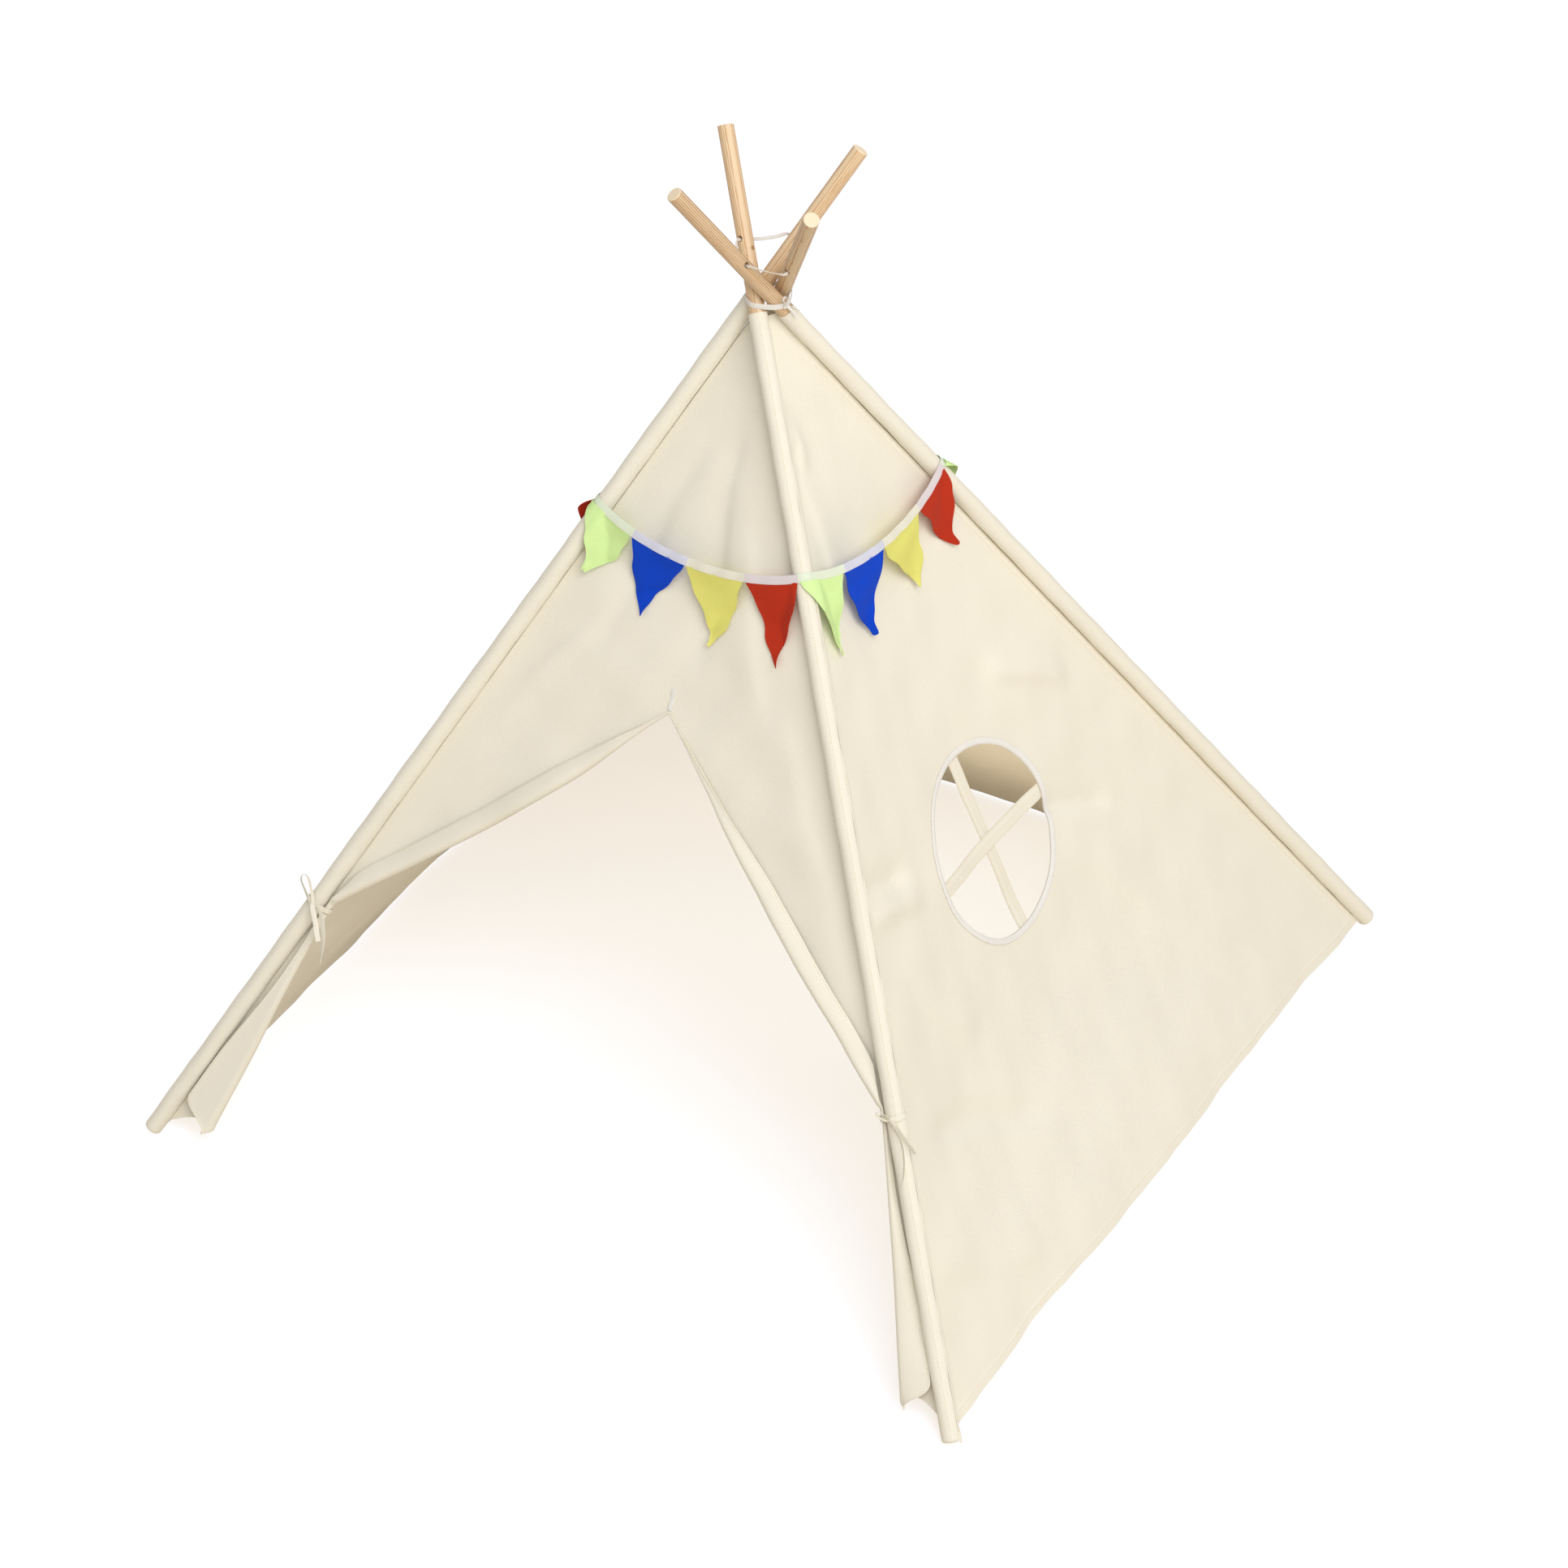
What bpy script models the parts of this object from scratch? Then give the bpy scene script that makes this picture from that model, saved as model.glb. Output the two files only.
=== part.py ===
"""Child's teepee: four crossed pine dowels in a sewn canvas cover, with ties, a window and bunting."""

import math
from collections import namedtuple

import bmesh
import bpy
from mathutils import Matrix, Vector

# Driving sizes of the frame, in metres
BASE_SIDE = 1.172
POLE_TILT = math.radians(36.3)
POLE_DIAMETER = 0.020
POLE_PAST_CROSSING = 0.202
POLE_END_ROUND = 0.0015
POLE_FACETS = 24
CROSSING_OFFSET = 0.018
HOLE_DIAMETER = 0.008
HOLE_FROM_TOP = 0.137
HOLE_TURN = math.radians(35)
GAP = 0.0003
SEAM_GAP = 0.0006
CUT_OVERRUN = 0.010

# Canvas and the pole sleeves
CANVAS = 0.0011
SLEEVE_LOOSENESS = 0.0009
SLEEVE_END_ROUND = 0.003
SLEEVE_BELOW_CROSSING = 0.025
SLEEVE_FACETS = 20
SOLE_FLAT_DEPTH = 0.0005

# Walls: how far they hang behind the pole axes, how they sag, and their hems
WALL_INSET = 0.008
HEM_LIFT = 0.006
WALL_TOP_BELOW_SLEEVE = 0.006
WALL_SAG_SHARE = 0.048
FRONT_SAG_SHARE = 0.020
SAG_RAMP_SHARE = 0.27
SAG_TOP_SHARE = 0.18
HEM_SAG_SHARE = 0.002
FOLD_HEIGHT = 0.0035
FOLDS_ACROSS = 3
FOLDS_UP = 2
WALL_COLUMNS = 16
WALL_ROWS = 14
FRONT_ROWS = 10

# Door: the slit's top and the tie-backs, as shares of the way up the slope and up the pole
SLIT_TOP_SHARE = 0.584
TIE_SHARE = 0.2865
FLAP_TURN_IN = 0.006
FLAP_STRIPS = (0.018, 0.019)
FLAP_ROLL_RADIUS = 0.0060
FLAP_SLIT_RADIUS = 0.0014
FLAP_LEAST_TURN = 0.0012
FLAP_SLIT_START = 0.0045
FLAP_TAPERS = (0.180, 0.300)
FLAP_TIE_TAPER = 0.130
FLAP_BELOW_TIE = 0.0045
DOOR_EDGE_ABOVE_TIE = 0.018
GATHER_RADIUS = 0.0045
GATHER_TURN_IN = 0.006
GATHER_TURN_BACK = 0.0012
TAIL_LIFT = 0.022
TAIL_TURN_IN = 0.052
TAIL_ROLL_RADIUS = 0.006
TAIL_TURN_BACK_SHARE = 0.85
TAIL_OPEN_SHARE = 0.70
TAIL_CURL_SHARE = 0.12
TAIL_CURL_HEIGHT = 0.110
TAB_WIDTH = 0.006
TAB_LENGTH = 0.030

# Window: its round hole, the binding tape round it and the two straps across it
WINDOW_SHARE = 0.394
WINDOW_DIAMETER = 0.244
BINDING_WIDTH = 0.008
BINDING_CLOTH = 0.0008
BINDING_ROOM = 0.0006
BINDING_STEPS = 32
STRAP_WIDTH = 0.020
STRAP_THICKNESS = 0.0016
STRAP_SEAM = 0.008

# Tapes, ties and bows
TAPE_WIDTH = 0.010
TAPE_THICKNESS = 0.0008
TIE_WIDTH = 0.007
TIE_THICKNESS = 0.0008
TOP_TIE_ABOVE_SLEEVE = 0.0030
THREAD_WIDTH = 0.0036
THREAD_SAG = 0.0015
THREAD_SAG_SHARES = (0.3, 0.7)
BOW_WAIST = 0.0030
BOW_SIZE = 0.030
TOP_BOW_SIZE = 0.014
TOP_BOW_TAPE = 0.0045
TOP_BOW_HEADING = math.radians(-20)
TOP_BOW_LEAN = math.radians(42)
BOW_TOWARDS_DOOR_SHARE = 0.35
KNOT_LENGTH_SHARE = 0.17
KNOT_WIDTH = 0.0085
KNOT_WRAP = 0.0018
TIE_SEAM_ROOM = math.radians(14)

# Bunting
BUNTING_SHARE = 0.7537
SPAN_DROP = 0.029
FLAGS_PER_SPAN = 4
FLAG_LENGTH = 0.096
FLAG_CLOTH = 0.0006
FLAG_SPACING = 0.0020
FLAG_TIP = 0.0055
FLAG_SWAY_SHARE = 0.09
FLAG_WAVES = 1.4
FLAG_WAVE_STEP = 0.8
FLAG_CURVE = 1.15
FLAG_CLEARANCE = 0.0015
FLAG_ROWS = 6
FLAG_COLUMNS = 4
FLAG_SLOPE_BESIDE_SLEEVE = 0.55

# Places along a bow, as shares of its size: across the pole, along it, out from it, then the tape's turn
BOW_ROUTE_SHARES = [
    (0.62, -2.35, -0.06, 20),
    (0.50, -1.60, 0.00, 12),
    (0.36, -0.80, 0.06, 6),
    (0.12, -0.26, 0.10, 10),
    (0.00, 0.00, 0.11, 20),
    (-0.10, 0.30, 0.16, 66),
    (-0.30, 0.72, 0.22, 88),
    (-0.38, 1.02, 0.26, 90),
    (-0.22, 1.16, 0.30, 90),
    (-0.02, 1.00, 0.32, 92),
    (0.06, 0.66, 0.31, 98),
    (0.12, 0.30, 0.275, 114),
    (0.045, 0.00, 0.225, 160),
    (0.10, -0.28, 0.25, 168),
    (0.20, -0.80, 0.26, 170),
    (0.26, -1.55, 0.20, 172),
]

# Colours of the cloth, tape and wood
CANVAS_COLOUR = (0.86, 0.78, 0.63)
PINE_COLOUR = (0.76, 0.52, 0.30)
TAPE_COLOUR = (0.83, 0.80, 0.76)
FLAG_COLOURS = {
    "green": (0.46, 0.94, 0.33),
    "blue": (0.04, 0.09, 0.58),
    "yellow": (0.76, 0.73, 0.18),
    "red": (0.56, 0.05, 0.02),
}

POLE_NAMES = ("left", "front", "right", "rear")
WALL_NAMES = ("front", "right", "rear", "left")

UP = Vector((0, 0, 1))
POLE_RADIUS = POLE_DIAMETER / 2
SLEEVE_INSIDE = POLE_RADIUS + SLEEVE_LOOSENESS
SLEEVE_RADIUS = SLEEVE_INSIDE + CANVAS
FOOT_RADIUS = BASE_SIDE / math.sqrt(2)
LEVEL_TO_CROSSING = math.sqrt(FOOT_RADIUS**2 - CROSSING_OFFSET**2)
CROSSING_UP_POLE = LEVEL_TO_CROSSING / math.sin(POLE_TILT)
HEADING = math.asin(CROSSING_OFFSET / FOOT_RADIUS)

# The pocket's end stands so low that the floor cuts it flat by SOLE_FLAT_DEPTH
SLEEVE_START = (
    (SLEEVE_RADIUS - SLEEVE_END_ROUND) * math.sin(POLE_TILT) + SLEEVE_END_ROUND - SOLE_FLAT_DEPTH
) / math.cos(POLE_TILT) - SLEEVE_END_ROUND
POLE_START = SLEEVE_START + CANVAS + GAP
POLE_TOP = CROSSING_UP_POLE + POLE_PAST_CROSSING
POLE_LENGTH = POLE_TOP - POLE_START
SLEEVE_TOP = CROSSING_UP_POLE - SLEEVE_BELOW_CROSSING
WALL_TOP = SLEEVE_TOP - WALL_TOP_BELOW_SLEEVE
CROSSING_HEIGHT = CROSSING_UP_POLE * math.cos(POLE_TILT)

# A distance up the middle of a wall's slope is this share of the distance up its poles
SLOPE_LENGTH = math.hypot(BASE_SIDE / 2, CROSSING_HEIGHT)
SLOPE_SHARE = SLOPE_LENGTH / CROSSING_UP_POLE
SLIT_UP_POLE = CROSSING_UP_POLE * SLIT_TOP_SHARE
TIE_UP_POLE = CROSSING_UP_POLE * TIE_SHARE
WINDOW_UP_SLOPE = SLOPE_LENGTH * WINDOW_SHARE
BUNTING_UP_POLE = CROSSING_UP_POLE * BUNTING_SHARE
FLAG_LEAN = BASE_SIDE / 2 / SLOPE_LENGTH

Pole = namedtuple("Pole", "ground along level across")


def pole_line(turns):
    """The axis of one pole: where it meets the floor, its direction up, and its level directions."""
    corner = math.radians(225) + turns * math.pi / 2
    heading = corner + math.pi + HEADING
    ground = Vector((math.cos(corner), math.sin(corner), 0)) * FOOT_RADIUS
    level = Vector((math.cos(heading), math.sin(heading), 0))
    along = level * math.sin(POLE_TILT) + UP * math.cos(POLE_TILT)
    return Pole(ground, along, level, UP.cross(level))


def up_pole(pole, distance):
    return pole.ground + pole.along * distance


def wall_poles(wall):
    """The two poles that carry a wall, from left to right as seen from outside."""
    return pole_line(wall), pole_line(wall + 1)


def wall_width(wall, up):
    """Distance between the two pole axes, at a distance up the poles."""
    start, end = wall_poles(wall)
    return (up_pole(end, up) - up_pole(start, up)).length


def pole_side_frame(wall, side, up):
    """At one side of a wall: the pole, the direction away from it along the cloth, and outwards."""
    start, end = wall_poles(wall)
    across = (up_pole(end, up) - up_pole(start, up)).normalized()
    pole = start if side == 0 else end
    outward = across.cross(pole.along).normalized()
    inward = pole.along.cross(outward).normalized()
    return pole, inward if side == 0 else -inward, outward


def place(wall, share, up, lift):
    """A point at a share of the way between a wall's poles, lifted outwards from their axes."""
    start, end = wall_poles(wall)
    first = up_pole(start, up)
    across = up_pole(end, up) - first
    outward = across.cross(start.along.lerp(end.along, share)).normalized()
    return first + across * share + outward * lift


def outward_at(wall, share, up):
    return (place(wall, share, up, WALL_INSET) - place(wall, share, up, 0)).normalized()


def edge_share(wall, side, up):
    """How far in from a pole's axis the cloth starts, as a share of the wall's width."""
    start, end = wall_poles(wall)
    across = up_pole(end, up) - up_pole(start, up)
    slant = across.normalized().cross((start, end)[side].along).length
    return beside_sleeve() / slant / across.length


def cloth_share(wall, up, across):
    """The share between the pole axes of a place counted over the cloth alone."""
    left = edge_share(wall, 0, up)
    right = edge_share(wall, 1, up)
    return left + (1 - left - right) * across


def smooth(value):
    value = min(max(value, 0), 1)
    return value * value * (3 - 2 * value)


def sag(wall, share, up):
    """How far a wall's cloth hangs in behind its edges."""
    height = up / CROSSING_UP_POLE
    bow = math.sin(math.pi * min(max(share, 0), 1))
    if wall == 0:
        return FRONT_SAG_SHARE * wall_width(wall, up) * bow * (1 - height)
    grow = smooth(height / SAG_RAMP_SHARE) * smooth((1 - height) / SAG_TOP_SHARE)
    depth = (HEM_SAG_SHARE + (WALL_SAG_SHARE - HEM_SAG_SHARE) * grow) * wall_width(wall, up)
    wave = FOLDS_ACROSS * math.pi * share + FOLDS_UP * math.pi * height
    ripple = FOLD_HEIGHT * math.sin(wave) * bow * (1 - height)
    return depth * bow + ripple


def wall_lift(wall, share, up):
    return -WALL_INSET - sag(wall, share, up)


def cloth_point(wall, share, up, off=0):
    """A point on a wall's cloth, or off it by a distance outwards."""
    return place(wall, share, up, wall_lift(wall, share, up) + off)


# Materials, collections and finishing
MATERIALS = {}
PIVOTS = {}


def material(name, colour, roughness):
    if name not in MATERIALS:
        made = bpy.data.materials.new(name)
        made.use_nodes = True
        shader = made.node_tree.nodes["Principled BSDF"]
        shader.inputs["Base Color"].default_value = (*colour, 1)
        shader.inputs["Roughness"].default_value = roughness
        shader.inputs["Metallic"].default_value = 0
        MATERIALS[name] = made
    return MATERIALS[name]


def canvas_cloth():
    return material("canvas", CANVAS_COLOUR, 0.9)


def white_tape():
    return material("white_tape", TAPE_COLOUR, 0.85)


def pine():
    return material("pine", PINE_COLOUR, 0.55)


def collection(name):
    made = bpy.data.collections.new(name)
    bpy.context.scene.collection.children.link(made)
    return made


def add_object(name, mesh, home, finish=None, pivot=None):
    made = bpy.data.objects.new(name, mesh)
    home.objects.link(made)
    if finish:
        mesh.materials.append(finish)
    if pivot:
        made.parent = PIVOTS[pivot]
        made.matrix_parent_inverse = PIVOTS[pivot].matrix_world.inverted()
    return made


def shade_round(mesh, angle=35):
    mesh.shade_smooth()
    mesh.set_sharp_from_angle(angle=math.radians(angle))


def add_boolean(target, cutter):
    cut = target.modifiers.new("cut", "BOOLEAN")
    cut.operation = "DIFFERENCE"
    cut.solver = "EXACT"
    cut.object = cutter


def hide_cutter(cutter):
    cutter.hide_render = True
    cutter.display_type = "WIRE"


def pole_matrix(pole, up):
    """Turns local Z to the pole's direction, with the origin at a distance up the pole."""
    turn = Matrix((pole.across.cross(pole.along), pole.across, pole.along)).transposed()
    return Matrix.Translation(up_pole(pole, up)) @ turn.to_4x4()


def cylinder(name, radius, length, facets, home, finish=None, pivot=None):
    mesh = bpy.data.meshes.new(name)
    shape = bmesh.new()
    bmesh.ops.create_cone(
        shape, cap_ends=True, segments=facets, radius1=radius, radius2=radius, depth=length
    )
    shape.to_mesh(mesh)
    shape.free()
    return add_object(name, mesh, home, finish, pivot)


def cloth(name, rows, thickness, finish, home, pivot):
    """A sheet of cloth from rows of points, given its thickness by Solidify."""
    mesh = bpy.data.meshes.new(name)
    shape = bmesh.new()
    grid = [[shape.verts.new(point) for point in row] for row in rows]
    for lower, upper in zip(grid, grid[1:]):
        for left, right, above_right, above_left in zip(lower, lower[1:], upper[1:], upper):
            shape.faces.new((left, right, above_right, above_left))
    shape.to_mesh(mesh)
    shape.free()
    shade_round(mesh, 60)
    made = add_object(name, mesh, home, finish, pivot)
    thick = made.modifiers.new("thickness", "SOLIDIFY")
    thick.thickness = thickness
    thick.offset = 0
    return made


def loft(name, sections, closed, finish, home, pivot):
    """A solid through sections of equal point counts, closed into a ring or capped at its ends."""
    mesh = bpy.data.meshes.new(name)
    shape = bmesh.new()
    rings = [[shape.verts.new(point) for point in section] for section in sections]
    pairs = list(zip(rings, rings[1:]))
    if closed:
        pairs.append((rings[-1], rings[0]))
    else:
        shape.faces.new(rings[0])
        shape.faces.new(list(reversed(rings[-1])))
    for first, second in pairs:
        for index, corner in enumerate(first):
            ahead = (index + 1) % len(first)
            shape.faces.new((corner, second[index], second[ahead], first[ahead]))
    bmesh.ops.recalc_face_normals(shape, faces=shape.faces)
    shape.to_mesh(mesh)
    shape.free()
    shade_round(mesh, 40)
    return add_object(name, mesh, home, finish, pivot)


def tape_section(centre, wide, thick, width, thickness):
    """The four corners of a flat tape across its path."""
    half_wide = wide.normalized() * (width / 2)
    half_thick = thick.normalized() * (thickness / 2)
    return [
        centre - half_wide - half_thick,
        centre + half_wide - half_thick,
        centre + half_wide + half_thick,
        centre - half_wide + half_thick,
    ]


def curve_through(points, steps):
    """A smooth curve through hand-chosen points (Catmull-Rom), with equal steps between them."""
    padded = [points[0] * 2 - points[1], *points, points[-1] * 2 - points[-2]]
    found = []
    for before, start, end, after in zip(padded, padded[1:], padded[2:], padded[3:]):
        for step in range(steps):
            t = step / steps
            found.append(
                start
                + (end - before) * (t / 2)
                + (before * 2 - start * 5 + end * 4 - after) * (t * t / 2)
                + (start * 3 - before - end * 3 + after) * (t * t * t / 2)
            )
    found.append(points[-1])
    return found


def outline_of(points):
    """The convex outline of flat points, in order round it."""
    ordered = sorted(set(points))

    def half(found_order):
        chain = []
        for x, y in found_order:
            while len(chain) > 1:
                (ax, ay), (bx, by) = chain[-2:]
                if (bx - ax) * (y - ay) - (by - ay) * (x - ax) > 0:
                    break
                chain.pop()
            chain.append((x, y))
        return chain[:-1]

    return half(ordered) + half(ordered[::-1])


def round_points(centre_x, centre_y, radius_x, radius_y, angle=0, count=24):
    found = []
    for step in range(count):
        turn = 2 * math.pi * step / count
        x = radius_x * math.cos(turn)
        y = radius_y * math.sin(turn)
        found.append(
            (
                centre_x + x * math.cos(angle) - y * math.sin(angle),
                centre_y + x * math.sin(angle) + y * math.cos(angle),
            )
        )
    return found


def tape_ring(name, points, origin, first, second, width, thickness, finish, home, pivot):
    """A tape drawn tight round the outline of flat points, which lie in a plane of two directions."""
    axis = first.cross(second)
    loop = outline_of(points)
    sections = []
    for (ax, ay), (x, y), (bx, by) in zip(loop[-1:] + loop[:-1], loop, loop[1:] + loop[:1]):
        out_x, out_y = by - ay, ax - bx
        size = math.hypot(out_x, out_y)
        out = first * (out_x / size) + second * (out_y / size)
        centre = origin + first * x + second * y + out * (GAP + thickness / 2)
        sections.append(tape_section(centre, axis, out, width, thickness))
    return loft(name, sections, True, finish, home, pivot)


# The frame: poles and sleeves
def add_pivots(home):
    """One empty at each pole's pivot, where the poles cross."""
    for turns, name in enumerate(POLE_NAMES):
        pivot = bpy.data.objects.new(f"{name}_pivot", None)
        pivot.location = up_pole(pole_line(turns), CROSSING_UP_POLE)
        pivot.empty_display_size = POLE_DIAMETER
        home.objects.link(pivot)
        PIVOTS[name] = pivot
    bpy.context.view_layer.update()


def add_pole(turns, home, cutters):
    """A pine dowel with softened ends and one hole drilled across it near its top."""
    name = f"{POLE_NAMES[turns]}_pole"
    pole = pole_line(turns)
    dowel = cylinder(name, POLE_RADIUS, POLE_LENGTH, POLE_FACETS, home, pine(), POLE_NAMES[turns])
    dowel.matrix_world = pole_matrix(pole, POLE_START + POLE_LENGTH / 2)
    soften = dowel.modifiers.new("ends", "BEVEL")
    soften.width = POLE_END_ROUND
    soften.segments = 2
    soften.limit_method = "ANGLE"
    soften.angle_limit = math.radians(60)
    drill = cylinder(f"{name}_drill", HOLE_DIAMETER / 2, POLE_DIAMETER + CUT_OVERRUN, 16, cutters)
    sideways = Matrix.Rotation(HOLE_TURN, 4, "Z") @ Matrix.Rotation(math.pi / 2, 4, "X")
    drill.matrix_world = pole_matrix(pole, POLE_TOP - HOLE_FROM_TOP) @ sideways
    hide_cutter(drill)
    add_boolean(dowel, drill)
    shade_round(dowel.data)


def sleeve_profile():
    """Half of the sleeve's section, from its top rim down outside, across its end and up inside."""
    length = SLEEVE_TOP - SLEEVE_START
    inner_round = SLEEVE_END_ROUND - CANVAS
    points = [(SLEEVE_RADIUS, length)]
    for step in range(4):
        turn = step / 3 * math.pi / 2
        points.append(
            (
                SLEEVE_RADIUS - SLEEVE_END_ROUND * (1 - math.cos(turn)),
                SLEEVE_END_ROUND * (1 - math.sin(turn)),
            )
        )
    points.append((0, 0))
    inner = [(0, CANVAS)]
    for step in range(4):
        turn = (1 - step / 3) * math.pi / 2
        inner.append(
            (
                SLEEVE_INSIDE - inner_round * (1 - math.cos(turn)),
                CANVAS + inner_round * (1 - math.sin(turn)),
            )
        )
    inner.append((SLEEVE_INSIDE, length))
    return points, inner


def add_sleeve(turns, home, floor):
    """A canvas tube round the pole, closed at the foot, where the floor cuts it flat."""
    name = f"{POLE_NAMES[turns]}_pole_sleeve"
    outer, inner = sleeve_profile()
    mesh = bpy.data.meshes.new(name)
    shape = bmesh.new()
    chain = [shape.verts.new((x, 0, z)) for x, z in outer]
    lining = [shape.verts.new((x, 0, z)) for x, z in inner]
    for run in (chain, lining):
        for first, second in zip(run, run[1:]):
            shape.edges.new((first, second))
    shape.edges.new((lining[-1], chain[0]))
    shape.to_mesh(mesh)
    shape.free()
    sleeve = add_object(name, mesh, home, canvas_cloth(), POLE_NAMES[turns])
    sleeve.matrix_world = pole_matrix(pole_line(turns), SLEEVE_START)
    turned = sleeve.modifiers.new("turned", "SCREW")
    turned.axis = "Z"
    turned.steps = SLEEVE_FACETS
    turned.render_steps = SLEEVE_FACETS
    turned.use_merge_vertices = True
    turned.merge_threshold = 0.00001
    turned.use_smooth_shade = True
    add_boolean(sleeve, floor)


def add_floor_cutter(cutters):
    mesh = bpy.data.meshes.new("floor_cutter")
    shape = bmesh.new()
    bmesh.ops.create_cube(shape, size=BASE_SIDE * 2)
    shape.to_mesh(mesh)
    shape.free()
    floor = add_object("floor_cutter", mesh, cutters)
    floor.location = (0, 0, -BASE_SIDE)
    hide_cutter(floor)
    return floor


# The walls, the door and the window
def hem_up_pole(wall, share):
    """Where up the poles a wall's hem comes to its height over the floor."""
    up = HEM_LIFT / math.cos(POLE_TILT)
    for _ in range(4):
        up += (HEM_LIFT - cloth_point(wall, share, up).z) / math.cos(POLE_TILT)
    return up


def add_plain_wall(wall, home):
    name = f"{WALL_NAMES[wall]}_wall"
    rows = []
    for row in range(WALL_ROWS + 1):
        points = []
        for column in range(WALL_COLUMNS + 1):
            across = column / WALL_COLUMNS
            hem = hem_up_pole(wall, across)
            up = hem + (WALL_TOP - hem) * row / WALL_ROWS
            points.append(cloth_point(wall, cloth_share(wall, up, across), up))
        rows.append(points)
    return cloth(name, rows, CANVAS, canvas_cloth(), home, POLE_NAMES[wall])


def door_edge_up(across):
    """How far up the poles the door's slanting edge lies, at a share across the front wall."""
    away = abs(across - 0.5) * 2
    low = TIE_UP_POLE + DOOR_EDGE_ABOVE_TIE
    fall = (SLIT_UP_POLE - low) / wall_width(0, low)
    up = SLIT_UP_POLE
    for _ in range(24):
        up = SLIT_UP_POLE - fall * away * wall_width(0, up)
    return up


def add_front_wall(home):
    """The cloth over the door: its lower edge runs from each tie-back up to the slit's top."""
    rows = []
    for row in range(FRONT_ROWS + 1):
        points = []
        for column in range(WALL_COLUMNS + 1):
            across = column / WALL_COLUMNS
            low = door_edge_up(across)
            up = low + (WALL_TOP - low) * row / FRONT_ROWS
            points.append(cloth_point(0, cloth_share(0, up, across), up))
        rows.append(points)
    return cloth("front_wall", rows, CANVAS, canvas_cloth(), home, POLE_NAMES[0])


def roll_section(turn_in, radius, turn_back):
    """A fold in cloth as (across, out) steps: in flat, half a turn round, and back flat."""
    steps = [(0, 0), (turn_in / 2, 0), (turn_in, 0)]
    for step in range(1, 5):
        turn = math.pi * step / 4
        steps.append((turn_in + radius * math.sin(turn), radius * (1 - math.cos(turn))))
    steps.append((turn_in - turn_back / 2, 2 * radius))
    steps.append((turn_in - turn_back, 2 * radius))
    return steps


def door_edge_point(side, column):
    """A corner of the front wall's cloth on the door's edge, counted from the slit to the pole."""
    across = 0.5 - column / WALL_COLUMNS
    if side == 1:
        across = 1 - across
    up = door_edge_up(across)
    share = cloth_share(0, up, across)
    return cloth_point(0, share, up), outward_at(0, share, up), up


def add_door_fold(side, home):
    """A door flap's upper part: the front wall's cloth folded outwards along the door's edge."""
    stations = WALL_COLUMNS // 2
    slit = door_edge_point(side, 0)[0]
    foot = door_edge_point(side, stations)[0]
    length = (foot - slit).length
    rows = []
    for station in range(stations + 1):
        base, normal, up = door_edge_point(side, station)
        pole, inward, outward = pole_side_frame(0, side, up)
        downhill = (foot - slit).normalized()
        into_door = downhill.cross(normal) * (-1, 1)[side]
        from_slit = (base - slit).length
        to_tie = 1 - smooth((length - from_slit) / FLAP_TIE_TAPER)
        opened = smooth(from_slit / FLAP_TAPERS[side])
        radius = FLAP_SLIT_RADIUS + (FLAP_ROLL_RADIUS - FLAP_SLIT_RADIUS) * opened
        turn_in = FLAP_LEAST_TURN + FLAP_TURN_IN * opened * (1 - to_tie) + GATHER_TURN_IN * to_tie
        strip = FLAP_STRIPS[side] * opened * (1 - to_tie) + GATHER_TURN_BACK * to_tie
        turn_back = strip + FLAP_LEAST_TURN * (1 - to_tie)
        if station == 0:
            base = base + downhill * FLAP_SLIT_START
        rows.append(
            [
                base + into_door * (GAP + CANVAS / 2 + step_in) + normal * out
                for step_in, out in roll_section(turn_in, radius, turn_back)
            ]
        )
    for below in (0, 1):
        up = TIE_UP_POLE + (1 - 2 * below) * FLAP_BELOW_TIE
        pole, inward, outward = pole_side_frame(0, side, up)
        corner = up_pole(pole, up) + inward * beside_sleeve() - outward * WALL_INSET
        rows.append(
            [
                corner + inward * step_in + outward * out
                for step_in, out in roll_section(GATHER_TURN_IN, GATHER_RADIUS, GATHER_TURN_BACK)
            ]
        )
    name = f"{('left', 'right')[side]}_door_flap_fold"
    return cloth(name, rows, CANVAS, canvas_cloth(), home, POLE_NAMES[side])


def beside_sleeve():
    """How far from a pole's axis, along the wall, the cloth can start without touching the sleeve."""
    return math.sqrt(SLEEVE_RADIUS**2 - (WALL_INSET - CANVAS / 2) ** 2) + SEAM_GAP


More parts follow.
